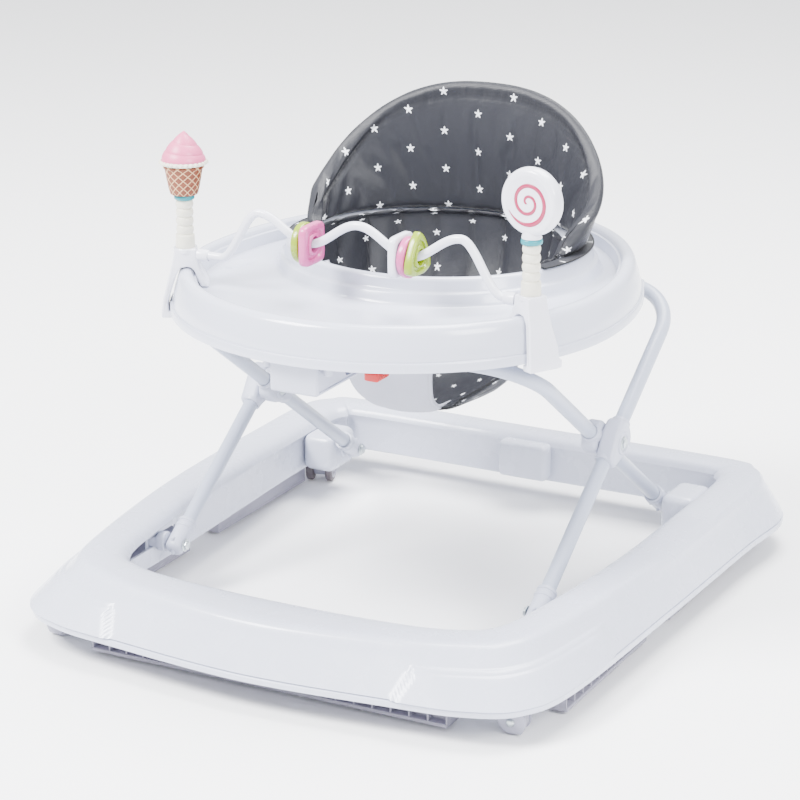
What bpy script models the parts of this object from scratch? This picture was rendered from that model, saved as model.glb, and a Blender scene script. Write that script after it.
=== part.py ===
# Baby walker: wheeled base, scissor frame, toy tray and fabric seat.
# Metres, +Z up. The front of the walker faces -Y, and x = 0 is its middle plane.
import math

import bmesh
import bpy
from mathutils import Vector

# ---- base ----
BASE_TOP = 0.085
LIP_BOTTOM = 0.031
SHELL_WALL = 0.003
BASE_HALF_WIDTH = 0.318
BASE_FRONT = 0.362
BASE_REAR = 0.361
SKIRT_RUN = 0.024
TOP_SPREAD = 0.050
RAIL_HALF_WIDTH = BASE_HALF_WIDTH - 0.077
PAD_CLEAR = 0.004
PAD_HALF_WIDTH = 0.0135
FRONT_PAD_HALF_LENGTH = 0.206
SIDE_PAD_LENGTH = 0.204
SIDE_PAD_STARTS = (-0.228, 0.036)
PAD_REACH = 0.030
PAD_PLATE = 0.0035
STEM_BOSS_RADIUS = 0.0085
REAR_BLOCK_HALF_WIDTH = 0.031
REAR_BLOCK_DEPTH = 0.021

# ---- casters ----
WHEEL_RADIUS = 0.014
WHEEL_WIDTH = 0.015
TWIN_RADIUS = 0.0155
TWIN_WIDTH = 0.009
TWIN_SPAN = 0.034
CASTER_TRAIL = 0.018
FRONT_CASTER_TURN = math.radians(97)
REAR_CASTER_TURN = math.radians(16)
FRONT_STEM = (BASE_HALF_WIDTH - 0.075, -0.285)
REAR_STEM = (BASE_HALF_WIDTH - 0.056, 0.280)
STEM_RADIUS = 0.004
FRONT_STEM_DEPTH = 0.014
REAR_STEM_DEPTH = 0.020
AXLE_RADIUS = 0.0025

# ---- scissor frame ----
TUBE_RADIUS = 0.008
TUBE_WALL = 0.0012
OUTER_LEG_X = RAIL_HALF_WIDTH - 0.026
INNER_LEG_X = OUTER_LEG_X - 2 * TUBE_RADIUS - 0.001
BEND_RADIUS = 0.058
LEG_ANGLE = math.radians(35)
LOWER_ARM = 0.225
UPPER_ARM = 0.212
PIVOT_Z = 0.058
REAR_PIVOT_Y = 0.237
CUP_RADIUS = TUBE_RADIUS + 0.0025
CUP_LENGTH = 0.030
SHOE_RADIUS = 0.011
BOLT_HEAD_RADIUS = 0.0058
HUB_RADIUS = 0.024
HUB_BOLT_RADIUS = 0.003
BOLT_RADIUS = 0.0028
SLOT_HEIGHT = 0.012
FOLD_DOWN = math.radians(19)
FOLD_UP = math.radians(5)

# ---- tray ----
TRAY_Z = 0.326
TRAY_RIM = 0.044
TRAY_FLOOR = 0.024
TRAY_RING = 0.052
TRAY_CENTRE_Y = -0.017
TRAY_RADIUS = 0.243
TRAY_REAR = 0.312
OPENING_HALF_WIDTH = 0.155
OPENING_HALF_LENGTH = 0.146
OPENING_Y = 0.069
HOUSING_HALF_WIDTH = 0.027
HOUSING_DROP = 0.033
HINGE_X = 0.110
HINGE_HALF = 0.012

# ---- toys ----
POST_X = 0.199
POST_Y = -0.124
POST_BASE_Z = 0.390
POST_RADIUS = 0.0102
POST_BEAD_RADIUS = 0.0092
POST_NECK_RADIUS = 0.0075
PEG_RADIUS = 0.004
CLAMP_HALF_WIDTH = 0.013
STEM_TOP = 0.4415
BAR_RADIUS = 0.0045
BAR_END_Z = 0.384
BAR_PEAK_Z = 0.437
BAR_LOW_Z = 0.4115
BAR_CENTRE = 0.0065
BAR_WAVE = 0.1155
BAR_FALL = 0.047
BEAD_WIDTH = 0.0085
BEAD_PITCH = BEAD_WIDTH + 0.001
BEAD_RADIUS = 0.0212
BEAD_HOLE = 0.0085
LOLLY_RADIUS = 0.034
LOLLY_TURN = math.radians(10)
LOLLY_THICKNESS = 0.017
CONE_RADIUS = 0.0215

# ---- seat ----
BACK_TOP_Z = 0.528
BACK_DROP = 0.112
BACK_FLATNESS = 2.5
BACK_THICKNESS = 0.024
BACK_REACH = math.radians(105)
SLING_REACH = math.radians(80)
FABRIC = 0.008

GAP = 0.0003
PLAY = 0.0001
ROUND = 12
SHAFT_SIDES = 16
TRAY_STEPS = 48

FINISHES = {
    "base_white": ("#eceef4", 0.28, 0.0),
    "tray_white": ("#eef0f6", 0.22, 0.0),
    "tube_white": ("#e6e8ef", 0.35, 0.0),
    "fitting_white": ("#e9ebf1", 0.4, 0.0),
    "pad_grey": ("#cfd0d6", 0.6, 0.0),
    "caster_grey": ("#d6d6de", 0.45, 0.0),
    "tread_grey": ("#7d7577", 0.7, 0.0),
    "bolt_steel": ("#b9c2c8", 0.3, 1.0),
    "seat_grey": ("#5b5d66", 0.55, 0.0),
    "lining_white": ("#dedede", 0.7, 0.0),
    "toy_white": ("#f2f2f4", 0.3, 0.0),
    "stem_cream": ("#efeee6", 0.45, 0.0),
    "teal": ("#35b6bd", 0.4, 0.0),
    "pink": ("#e58fbb", 0.35, 0.0),
    "lime": ("#c3d52c", 0.35, 0.0),
    "waffle": ("#c58f63", 0.6, 0.0),
    "red": ("#e3252f", 0.35, 0.0),
}


def clear_scene():
    for old in list(bpy.data.objects):
        bpy.data.objects.remove(old)


def material(name):
    found = bpy.data.materials.get(name)
    if found:
        return found
    code, roughness, metallic = FINISHES[name]
    channels = [int(code[i:i + 2], 16) / 255 for i in (1, 3, 5)]
    linear = [c / 12.92 if c <= 0.04045 else ((c + 0.055) / 1.055) ** 2.4 for c in channels]
    made = bpy.data.materials.new(name)
    made.use_nodes = True
    shader = made.node_tree.nodes["Principled BSDF"]
    shader.inputs["Base Color"].default_value = (*linear, 1)
    shader.inputs["Roughness"].default_value = roughness
    shader.inputs["Metallic"].default_value = metallic
    return made


def build(name, bm, finish, origin=(0, 0, 0)):
    """An object from a mesh in world coordinates, with its origin at the given point."""
    bmesh.ops.recalc_face_normals(bm, faces=bm.faces)
    bmesh.ops.translate(bm, verts=bm.verts, vec=-Vector(origin))
    mesh = bpy.data.meshes.new(name)
    bm.to_mesh(mesh)
    bm.free()
    mesh.shade_smooth()
    mesh.set_sharp_from_angle(angle=math.radians(35))
    mesh.materials.append(material(finish))
    obj = bpy.data.objects.new(name, mesh)
    obj.location = origin
    bpy.context.collection.objects.link(obj)
    return obj


def combine(obj, bm, operation="DIFFERENCE"):
    """A Boolean modifier whose tool is a hidden helper."""
    tool = build(f"{obj.name}_tool{len(obj.modifiers)}", bm, "pad_grey")
    tool.hide_render = True
    tool.display_type = "WIRE"
    step = obj.modifiers.new(operation.lower(), "BOOLEAN")
    step.operation = operation
    step.object = tool


def loft(rings, wrap=False):
    """Faces between rings of equal length. A wrapped loft joins its last ring to its first."""
    bm = bmesh.new()
    rows = [[bm.verts.new(point) for point in ring] for ring in rings]
    following = rows[1:] + rows[:1] if wrap else rows[1:]
    for low, high in zip(rows, following):
        for i in range(len(low)):
            j = (i + 1) % len(low)
            bm.faces.new((low[i], low[j], high[j], high[i]))
    if not wrap:
        bm.faces.new(rows[0][::-1])
        bm.faces.new(rows[-1])
    return bm


def circle(centre, axis, radius, sides=ROUND):
    axis = Vector(axis).normalized()
    across = Vector((0, 0, 1)) if abs(axis.z) < 0.9 else Vector((1, 0, 0))
    u = axis.cross(across).normalized()
    v = axis.cross(u)
    turns = [2 * math.pi * k / sides for k in range(sides)]
    return [Vector(centre) + radius * (math.cos(a) * u + math.sin(a) * v) for a in turns]


def turned(profile, at, axis, sides=ROUND, wrap=False):
    """A turned solid: profile holds (distance along the axis, radius) pairs."""
    axis = Vector(axis).normalized()
    return loft([circle(Vector(at) + d * axis, axis, r, sides) for d, r in profile], wrap)


def rod(start, end, radius, sides=ROUND):
    start = Vector(start)
    run = Vector(end) - start
    return turned([(0, radius), (run.length, radius)], start, run, sides)


def box(low, high):
    corners = [(low[0], low[1]), (high[0], low[1]), (high[0], high[1]), (low[0], high[1])]
    return loft([[Vector((x, y, z)) for x, y in corners] for z in (low[2], high[2])])


def prism(outline, place, start, end):
    """An outline of 2-D points, set in space by place(point, depth), between two depths."""
    return loft([[place(p, d) for p in outline] for d in (start, end)])


def swept(path, normal, radius, wall=0.0, sides=ROUND):
    """A round bar, or a tube when it has a wall, along points that lie in one plane."""
    path = [Vector(p) for p in path]
    normal = Vector(normal).normalized()
    outer, inner = [], []
    for i, point in enumerate(path):
        ahead = path[min(i + 1, len(path) - 1)] - path[max(i - 1, 0)]
        across = ahead.normalized().cross(normal)
        turns = [2 * math.pi * k / sides for k in range(sides)]
        spokes = [math.cos(a) * normal + math.sin(a) * across for a in turns]
        outer.append([point + radius * s for s in spokes])
        inner.append([point + (radius - wall) * s for s in spokes])
    if wall:
        return loft(outer + inner[::-1], wrap=True)
    return loft(outer)


def sheet(grid, thickness):
    """A closed solid from a grid of points, thickened away from the side its normals face."""
    rows, columns = len(grid), len(grid[0])

    def normal(i, j):
        down = grid[min(i + 1, rows - 1)][j] - grid[max(i - 1, 0)][j]
        side = grid[i][min(j + 1, columns - 1)] - grid[i][max(j - 1, 0)]
        return down.cross(side).normalized()

    back = [[grid[i][j] - thickness * normal(i, j) for j in range(columns)] for i in range(rows)]
    return loft([grid[i] + back[i][::-1] for i in range(rows)])


def smooth_loop(right, steps=2):
    """A closed plan curve through the right-hand points, mirrored about x = 0."""
    left = [(-x, y) for x, y in right[-2:0:-1]]
    points = [Vector(p) for p in right + left]
    loop = []
    for i, here in enumerate(points):
        before, after = points[i - 1], points[(i + 1) % len(points)]
        beyond = points[(i + 2) % len(points)]
        for k in range(steps):
            t = k / steps
            loop.append(0.5 * (
                2 * here
                + (after - before) * t
                + (2 * before - 5 * here + 4 * after - beyond) * t ** 2
                + (3 * here - before - 3 * after + beyond) * t ** 3
            ))
    return loop


def offset(loop, distance):
    """A plan loop moved outwards by a distance. The loop runs anticlockwise."""
    moved = []
    for i, point in enumerate(loop):
        along = (loop[(i + 1) % len(loop)] - loop[i - 1]).normalized()
        moved.append(point + distance * Vector((along.y, -along.x)))
    return moved


def mix(one, other, share):
    return [a.lerp(b, share) for a, b in zip(one, other)]


def level(loop, z):
    return [Vector((p.x, p.y, z)) for p in loop]


def base_outlines():
    """The lip, the top's outer edge, the top's inner edge and the rail wall, in plan."""
    w, f, r = BASE_HALF_WIDTH, BASE_FRONT, BASE_REAR
    lip = smooth_loop([
        (0, -f), (w * 0.5, -f + 0.0155), (w * 0.72, -f + 0.032), (w * 0.86, -f + 0.067),
        (w * 0.93, -f + 0.139), (w * 0.985, -0.011), (w, r * 0.54), (w * 1.015, r - 0.070),
        (w * 0.94, r - 0.018), (w * 0.78, r), (0, r),
    ])
    top = smooth_loop([
        (0, -f + 0.027), (w * 0.42, -f + 0.045), (w * 0.62, -f + 0.062),
        (w * 0.77, -f + 0.097), (w * 0.84, -f + 0.177), (w - SKIRT_RUN, -0.011),
        (w - SKIRT_RUN * 0.8, r * 0.54), (w - SKIRT_RUN * 0.9, r - 0.073),
        (w * 0.875, r - 0.037), (w * 0.74, r - 0.020), (0, r - 0.020),
    ])
    s = w - SKIRT_RUN - TOP_SPREAD
    inner = smooth_loop([
        (0, -f + 0.096), (s * 0.49, -f + 0.0995), (s * 0.75, -f + 0.112),
        (s * 0.873, -f + 0.136), (s * 0.934, -f + 0.197), (s, -0.011),
        (s + 0.004, r * 0.45), (s + 0.004, r - 0.096), (s - 0.005, r - 0.066),
        (s - 0.030, r - 0.056), (0, r - 0.056),
    ])
    g = RAIL_HALF_WIDTH
    rail = smooth_loop([
        (0, -f + 0.095), (g * 0.50, -f + 0.0985), (g * 0.81, -f + 0.108),
        (g * 0.963, -f + 0.124), (g * 0.992, -f + 0.157), (g + 0.001, -0.055),
        (g + 0.010, r * 0.45), (g + 0.010, r - 0.091), (g + 0.001, r - 0.063),
        (g - 0.025, r - 0.053), (0, r - 0.053),
    ])
    return lip, top, inner, rail


def foot_y(fold):
    return REAR_PIVOT_Y - 2 * LOWER_ARM * math.cos(LEG_ANGLE - fold)


def make_base():
    lip, top, inner, rail = base_outlines()
    t = SHELL_WALL
    rings = [
        level(lip, LIP_BOTTOM),
        level(lip, LIP_BOTTOM + 0.006),
        level(mix(offset(lip, -0.003), top, 0.05), LIP_BOTTOM + 0.008),
        level(mix(lip, top, 0.88), BASE_TOP - 0.009),
        level(top, BASE_TOP - 0.002),
        level(mix(top, inner, 0.2), BASE_TOP),
        level(mix(top, inner, 0.85), BASE_TOP),
        level(inner, BASE_TOP - 0.002),
        level(inner, BASE_TOP - 0.005),
        level(rail, BASE_TOP - 0.008),
        level(rail, LIP_BOTTOM),
        level(offset(rail, t), LIP_BOTTOM),
        level(offset(rail, t), BASE_TOP - 0.011),
        level(mix(top, inner, 0.7), BASE_TOP - t),
        level(mix(top, inner, 0.25), BASE_TOP - t),
        level(offset(mix(lip, top, 0.88), -t), BASE_TOP - 0.009 - t),
        level(offset(lip, -0.003 - t), LIP_BOTTOM + 0.008),
        level(offset(lip, -t), LIP_BOTTOM),
    ]
    shell = build("base_shell", loft(rings, wrap=True), "base_white")
    for side in (-1, 1):
        low_y, high_y = foot_y(FOLD_DOWN) - 0.013, foot_y(-FOLD_UP) + 0.013
        xs = sorted((side * (RAIL_HALF_WIDTH - 0.012), side * (RAIL_HALF_WIDTH + 0.006)))
        half = SLOT_HEIGHT / 2
        combine(shell, box((xs[0], low_y, PIVOT_Z - half), (xs[1], high_y, PIVOT_Z + half)))
        for (x, y), depth, top_z in (
            (FRONT_STEM, FRONT_STEM_DEPTH, BASE_TOP - 0.029),
            (REAR_STEM, REAR_STEM_DEPTH, BASE_TOP - 0.001),
        ):
            bore = STEM_RADIUS + PLAY
            boss = [(0, bore), (0, STEM_BOSS_RADIUS), (top_z - LIP_BOTTOM, STEM_BOSS_RADIUS)]
            boss += [(top_z - LIP_BOTTOM, 0.002), (depth, 0.002), (depth, bore)]
            solid = turned(boss, (side * x, y, LIP_BOTTOM), (0, 0, 1), SHAFT_SIDES, wrap=True)
            combine(shell, solid, "UNION")
    back = BASE_REAR - 0.053
    half = REAR_BLOCK_HALF_WIDTH
    block = box((-half, back - REAR_BLOCK_DEPTH, LIP_BOTTOM + 0.004),
                (half, back + SHELL_WALL / 2, BASE_TOP - 0.012))
    combine(shell, block, "UNION")


def make_brake_pads():
    """Ribs under the base that drop on to the floor when a wheel leaves it."""
    plate = LIP_BOTTOM - 0.0005
    waist = plate - PAD_PLATE
    ceiling = BASE_TOP - SHELL_WALL - GAP
    h = PAD_HALF_WIDTH

    def section(middle, inward, outward):
        """A rib under a plate that reaches inwards and outwards from the rib's middle."""
        return [
            (middle - h, PAD_CLEAR), (middle + h, PAD_CLEAR), (middle + h, waist),
            (middle + outward, waist), (middle + outward, plate), (middle - inward, plate),
            (middle - inward, waist), (middle - h, waist),
        ]

    middle = -BASE_FRONT + 0.061
    half = FRONT_PAD_HALF_LENGTH
    outline = section(middle, PAD_REACH, PAD_REACH)
    front = build("front_brake_pad", prism(outline, lambda p, d: Vector((d, *p)), -half, half),
                  "pad_grey")
    for x in (-0.08, 0.08):
        post = box((x - 0.02, middle + 0.008, waist), (x + 0.02, middle + 0.016, ceiling))
        combine(front, post, "UNION")
    middle = (BASE_HALF_WIDTH + RAIL_HALF_WIDTH) / 2 - 0.001
    outline = section(middle, PAD_REACH, h + 0.003)
    for name, side in (("left", -1), ("right", 1)):
        for place, start in (("front", SIDE_PAD_STARTS[0]), ("rear", SIDE_PAD_STARTS[1])):
            solid = prism(outline, lambda p, d: Vector((side * p[0], d, p[1])),
                          start, start + SIDE_PAD_LENGTH)
            pad = build(f"{name}_{place}_brake_pad", solid, "pad_grey")
            xs = sorted((side * (middle - 0.0147), side * (middle - 0.0097)))
            top = start + SIDE_PAD_LENGTH - 0.012
            combine(pad, box((xs[0], top - 0.05, waist), (xs[1], top, ceiling)), "UNION")


def make_front_caster(name, side):
    x, y = side * FRONT_STEM[0], FRONT_STEM[1]
    trail = Vector((side * math.sin(FRONT_CASTER_TURN), -math.cos(FRONT_CASTER_TURN), 0))
    axle = Vector((trail.y, -trail.x, 0))
    hub = Vector((x, y, WHEEL_RADIUS)) + CASTER_TRAIL * trail
    top = LIP_BOTTOM - 0.0005
    half = WHEEL_WIDTH / 2 + 0.001
    hood = half + 0.0025

    def outline(radius):
        """A round cheek that runs back to the stem under the base."""
        low = WHEEL_RADIUS - 0.75 * radius
        turns = [math.radians(-40 + 100 * k / 8) for k in range(9)]
        arc = [(radius * math.cos(a), WHEEL_RADIUS + radius * math.sin(a)) for a in turns]
        arc = [(u, max(low, min(z, top))) for u, z in arc]
        back = -CASTER_TRAIL - 0.009
        return [(-0.3 * radius, low)] + arc + [(back, top), (back, top - 0.005)]

    shape = outline(WHEEL_RADIUS + 0.0015)
    fork = build(
        f"{name}_caster_fork",
        prism(shape, lambda p, d: Vector((hub.x, hub.y, 0)) + p[0] * trail + d * axle
              + Vector((0, 0, p[1])), -hood, hood),
        "caster_grey", (x, y, top),
    )
    room = WHEEL_RADIUS + 0.0008
    slot = [(-room, -0.010), (room * 2, -0.010), (room * 2, 2 * WHEEL_RADIUS + 0.0006),
            (-room, 2 * WHEEL_RADIUS + 0.0006)]
    combine(fork, prism(
        slot, lambda p, d: Vector((hub.x, hub.y, 0)) + p[0] * trail + d * axle
        + Vector((0, 0, p[1])), -half, half))
    combine(fork, rod(hub - 0.03 * axle, hub + 0.03 * axle, AXLE_RADIUS + PLAY, SHAFT_SIDES))
    combine(fork, turned([(0, STEM_RADIUS), (FRONT_STEM_DEPTH - 0.001, STEM_RADIUS),
                          (FRONT_STEM_DEPTH, 0.003)],
                         (x, y, top - 0.002), (0, 0, 1), SHAFT_SIDES), "UNION")
    bore = AXLE_RADIUS + PLAY
    w, r = WHEEL_WIDTH / 2, WHEEL_RADIUS
    wheel = [(-w, bore), (-w, r - 0.003), (-w + 0.003, r), (w - 0.003, r), (w, r - 0.003), (w, bore)]
    build(f"{name}_caster_wheel", turned(wheel, hub, axle, SHAFT_SIDES, wrap=True), "caster_grey", hub)
    end = hood + 0.0003
    pin = [(-end - 0.0015, 0.003), (-end, 0.0045), (-end, AXLE_RADIUS), (end, AXLE_RADIUS),
           (end, 0.0045), (end + 0.0015, 0.003)]
    build(f"{name}_caster_axle", turned(pin, hub, axle, SHAFT_SIDES), "bolt_steel", hub)


def make_rear_caster(name, side):
    x, y = side * REAR_STEM[0], REAR_STEM[1]
    trail = Vector((math.sin(REAR_CASTER_TURN), -math.cos(REAR_CASTER_TURN), 0))
    axle = Vector((trail.y, -trail.x, 0))
    hub = Vector((x, y, TWIN_RADIUS)) + CASTER_TRAIL * trail
    top = LIP_BOTTOM - 0.0005
    half = (TWIN_SPAN - 2 * TWIN_WIDTH) / 2 - 0.0006
    r = 0.0085
    turns = [math.radians(-90 + 180 * k / 8) for k in range(9)]
    arc = [(r * math.cos(a), TWIN_RADIUS + r * math.sin(a)) for a in turns]
    shape = arc + [(-0.004, top), (-CASTER_TRAIL - 0.008, top), (-CASTER_TRAIL - 0.008, top - 0.006)]
    shape = [(u, min(z, top)) for u, z in shape]
    fork = build(
        f"{name}_caster_fork",
        prism(shape, lambda p, d: Vector((hub.x, hub.y, 0)) + p[0] * trail + d * axle
              + Vector((0, 0, p[1])), -half, half),
        "caster_grey", (x, y, top),
    )
    combine(fork, rod(hub - 0.03 * axle, hub + 0.03 * axle, AXLE_RADIUS + PLAY, SHAFT_SIDES))
    combine(fork, turned([(0, STEM_RADIUS), (REAR_STEM_DEPTH - 0.001, STEM_RADIUS),
                          (REAR_STEM_DEPTH, 0.003)],
                         (x, y, top - 0.002), (0, 0, 1), SHAFT_SIDES), "UNION")
    far, near, rim = TWIN_SPAN / 2, TWIN_SPAN / 2 - TWIN_WIDTH, TWIN_RADIUS
    half_profile = [(near, AXLE_RADIUS), (near, rim - 0.001), (near + 0.001, rim),
                    (far - 0.002, rim), (far, rim - 0.002)]
    profile = [(-d, rr) for d, rr in half_profile[::-1]] + half_profile
    build(f"{name}_twin_wheel", turned(profile, hub, axle, SHAFT_SIDES), "tread_grey", hub)


def arm_frame(direction):
    """Where the arms cross, and the unit vector up one arm: +1 leans back, -1 leans forward."""
    hub_y = REAR_PIVOT_Y - LOWER_ARM * math.cos(LEG_ANGLE)
    hub_z = PIVOT_Z + LOWER_ARM * math.sin(LEG_ANGLE)
    return Vector((0, hub_y, hub_z)), Vector((0, direction * math.cos(LEG_ANGLE), math.sin(LEG_ANGLE)))


def make_u_tube(name, direction, leg_x):
    hub, up = arm_frame(direction)
    r = BEND_RADIUS
    plan = [(leg_x, -LOWER_ARM + TUBE_RADIUS), (leg_x, -0.012), (leg_x, 0.012)]
    for k in range(7):
        a = math.radians(90 * k / 6)
        plan.append((leg_x - r + r * math.cos(a), UPPER_ARM - r + r * math.sin(a)))
    plan += [(-x, s) for x, s in plan[::-1]]
    path = [hub + Vector((x, 0, 0)) + s * up for x, s in plan]
    tube = build(name, swept(path, up.cross(Vector((1, 0, 0))), TUBE_RADIUS, TUBE_WALL),
                 "tube_white", hub + UPPER_ARM * up)
    for side in (-1, 1):
        across = Vector((side * leg_x, 0, 0)) + hub
        reach = Vector((0.012, 0, 0))
        combine(tube, rod(across - reach, across + reach, HUB_BOLT_RADIUS + PLAY, SHAFT_SIDES))


def make_cup(name, direction, pivot):
    """A socket on a tube's lower end, with a cross bore for its pivot bolt."""
    _, up = arm_frame(direction)
    r = CUP_RADIUS
    profile = [(-0.010, r - 0.003), (-0.007, r), (CUP_LENGTH, r),
               (CUP_LENGTH, TUBE_RADIUS + GAP), (TUBE_RADIUS - GAP, TUBE_RADIUS + GAP)]
    cup = build(name, turned(profile, pivot, up), "fitting_white", pivot)
    reach = Vector((0.015, 0, 0))
    combine(cup, rod(pivot - reach, pivot + reach, BOLT_RADIUS + PLAY, SHAFT_SIDES))


def make_pivot_bolt(name, side, leg_x, pivot, depth):
    face = leg_x - CUP_RADIUS - GAP
    head = BOLT_HEAD_RADIUS
    profile = [(face - 0.003, head - 0.0013), (face - 0.002, head), (face, head), (face, BOLT_RADIUS),
               (depth, BOLT_RADIUS)]
    at = Vector((0, pivot.y, pivot.z))
    build(name, turned(profile, at, (side, 0, 0), SHAFT_SIDES), "bolt_steel", pivot)


def make_slide_foot(name, side, pivot):
    """A shoe beside the rail wall, with a neck through its slot and a head behind it."""
    face = OUTER_LEG_X + CUP_RADIUS + 0.0007
    wall = RAIL_HALF_WIDTH - 0.0045
    at = Vector((0, pivot.y, pivot.z))
    profile = [(face, SHOE_RADIUS - 0.0015), (face + 0.001, SHOE_RADIUS), (wall, SHOE_RADIUS)]
    shoe = turned(profile, at, (side, 0, 0), SHAFT_SIDES)
    foot = build(name, shoe, "fitting_white", pivot)

    def block(start, end, half_y, half_z):
        xs = sorted((side * start, side * end))
        return box((xs[0], pivot.y - half_y, pivot.z - half_z),
                   (xs[1], pivot.y + half_y, pivot.z + half_z))

    neck_z = SLOT_HEIGHT / 2 - 0.001
    behind = RAIL_HALF_WIDTH + SHELL_WALL + 0.0015
    combine(foot, block(wall - 0.002, behind + 0.001, 0.010, neck_z), "UNION")
    combine(foot, block(behind, behind + 0.003, 0.013, 0.009), "UNION")
    combine(foot, rod(at + Vector((side * (face - 0.005), 0, 0)),
                      at + Vector((side * (wall - 0.0015), 0, 0)), BOLT_RADIUS + PLAY, SHAFT_SIDES))


def make_corner_block(name, side, pivot):
    """The moulded block inside each rear corner that carries the rear pivot bolt."""
    near = INNER_LEG_X + CUP_RADIUS + 0.0005
    far = RAIL_HALF_WIDTH + 0.0095
    back, front, r = REAR_PIVOT_Y + 0.028, REAR_PIVOT_Y - 0.032, 0.012
    outline = [(far, front), (far, back)]
    for k in range(5):
        a = math.radians(90 + 90 * k / 4)
        outline.append((near + r + r * math.cos(a), back - r + r * math.sin(a)))
    for k in range(5):
        a = math.radians(180 + 90 * k / 4)
        outline.append((near + r + r * math.cos(a), front + r + r * math.sin(a)))
    solid = prism(outline, lambda p, d: Vector((side * p[0], p[1], d)), LIP_BOTTOM + 0.001,
                  BASE_TOP - 0.0085)
    block = build(name, solid, "base_white")
    at = Vector((0, pivot.y, pivot.z))
    combine(block, rod(at + Vector((side * (near - 0.005), 0, 0)),
                       at + Vector((side * (near + 0.017), 0, 0)), BOLT_RADIUS + PLAY, SHAFT_SIDES))


def make_hub(name, side):
    hub, back = arm_frame(1)
    _, forward = arm_frame(-1)
    middle = (OUTER_LEG_X + INNER_LEG_X) / 2
    r = HUB_RADIUS
    deep = 2 * TUBE_RADIUS + 0.0035
    outer = [(middle + GAP, r - 0.0015), (middle + 0.002, r), (middle + deep + 0.0005, r),
             (middle + deep + 0.003, r - 0.0035)]
    inner = [(middle - deep, r - 0.0055), (middle - deep + 0.0025, r - 0.002), (middle - GAP, r - 0.002)]
    for part, profile, leg_x, up in (
        ("outer", outer, OUTER_LEG_X, back), ("inner", inner, INNER_LEG_X, forward),
    ):
        shell = build(f"{name}_hub_{part}", turned(profile, hub, (side, 0, 0), SHAFT_SIDES),
                      "fitting_white", hub + Vector((side * leg_x, 0, 0)))
        leg = hub + Vector((side * leg_x, 0, 0))
        combine(shell, rod(leg - 0.04 * up, leg + 0.04 * up, TUBE_RADIUS + GAP))
        near = hub + Vector((side * (middle - 0.03), 0, 0))
        far = hub + Vector((side * (middle + 0.03), 0, 0))
        combine(shell, rod(near, far, HUB_BOLT_RADIUS + PLAY, SHAFT_SIDES))
    low, high = middle - deep - GAP, middle + deep + 0.003 + GAP
    bolt = [(low - 0.003, 0.004), (low - 0.002, 0.0055), (low, 0.0055), (low, HUB_BOLT_RADIUS),
            (high, HUB_BOLT_RADIUS), (high, 0.0055), (high + 0.002, 0.0055), (high + 0.003, 0.004)]
    build(f"{name}_hub_bolt", turned(bolt, hub, (side, 0, 0), SHAFT_SIDES), "bolt_steel", hub)


def make_frame():
    rear_pivot = Vector((0, REAR_PIVOT_Y, PIVOT_Z))
    front_pivot = Vector((0, foot_y(0), PIVOT_Z))
    make_u_tube("outer_frame_tube", 1, OUTER_LEG_X)
    make_u_tube("inner_frame_tube", -1, INNER_LEG_X)
    for name, side in (("left", -1), ("right", 1)):
        outer = front_pivot + Vector((side * OUTER_LEG_X, 0, 0))
        inner = rear_pivot + Vector((side * INNER_LEG_X, 0, 0))
        make_cup(f"{name}_front_cup", 1, outer)
        make_cup(f"{name}_rear_cup", -1, inner)
        make_slide_foot(f"{name}_slide_foot", side, outer)
        make_corner_block(f"{name}_corner_block", side, inner)
        make_pivot_bolt(f"{name}_front_bolt", side, OUTER_LEG_X, outer, RAIL_HALF_WIDTH - 0.0065)
        make_pivot_bolt(f"{name}_rear_bolt", side, INNER_LEG_X, inner,
                        INNER_LEG_X + CUP_RADIUS + 0.016)
        make_hub(name, side)


def tray_point(turn, edge, distance):
    """A plan point at an angle from the front, in from the rim or out from the opening."""
    if edge == "rim":
        half, middle, move = TRAY_RADIUS, TRAY_CENTRE_Y, -distance
        length = TRAY_RADIUS if math.cos(turn) > 0 else TRAY_REAR
    else:
        half, middle, move = OPENING_HALF_WIDTH, OPENING_Y, distance
        length = OPENING_HALF_LENGTH
    point = Vector((half * math.sin(turn), middle - length * math.cos(turn)))
    outward = Vector((length * math.sin(turn), -half * math.cos(turn))).normalized()
    return point + move * outward


def make_tray():
    rim, floor, ring = TRAY_Z + TRAY_RIM, TRAY_Z + TRAY_FLOOR, TRAY_Z + TRAY_RING
    t = SHELL_WALL
    rows = [
        ("rim", 0.0, TRAY_Z), ("rim", 0.0, TRAY_Z + 0.009), ("rim", 0.002, TRAY_Z + 0.010),
        ("rim", 0.009, rim - 0.008), ("rim", 0.013, rim - 0.001), ("rim", 0.019, rim),
        ("rim", 0.024, rim - 0.004), ("rim", 0.029, floor), ("opening", 0.022, floor),
        ("opening", 0.015, ring - 0.012), ("opening", 0.011, ring - 0.001),
        ("opening", 0.005, ring), ("opening", 0.0, ring - 0.003), ("opening", 0.0, floor - 0.005),
        ("opening", t, floor - 0.005), ("opening", t + 0.001, ring - 0.005),
        ("opening", 0.009, ring - 0.0045), ("opening", 0.019, floor - t),
        ("rim", 0.031, floor - t), ("rim", 0.0265, rim - 0.0065), ("rim", 0.019, rim - t),
        ("rim", 0.0135, rim - t - 0.001), ("rim", 0.0115, rim - 0.010),
        ("rim", 0.005, TRAY_Z + 0.009), ("rim", t, TRAY_Z),
    ]
    turns = [2 * math.pi * k / TRAY_STEPS for k in range(TRAY_STEPS)]
    rings = [level([tray_point(a, edge, d) for a in turns], z) for edge, d, z in rows]
    build("tray_shell", loft(rings, wrap=True), "tray_white")


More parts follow.
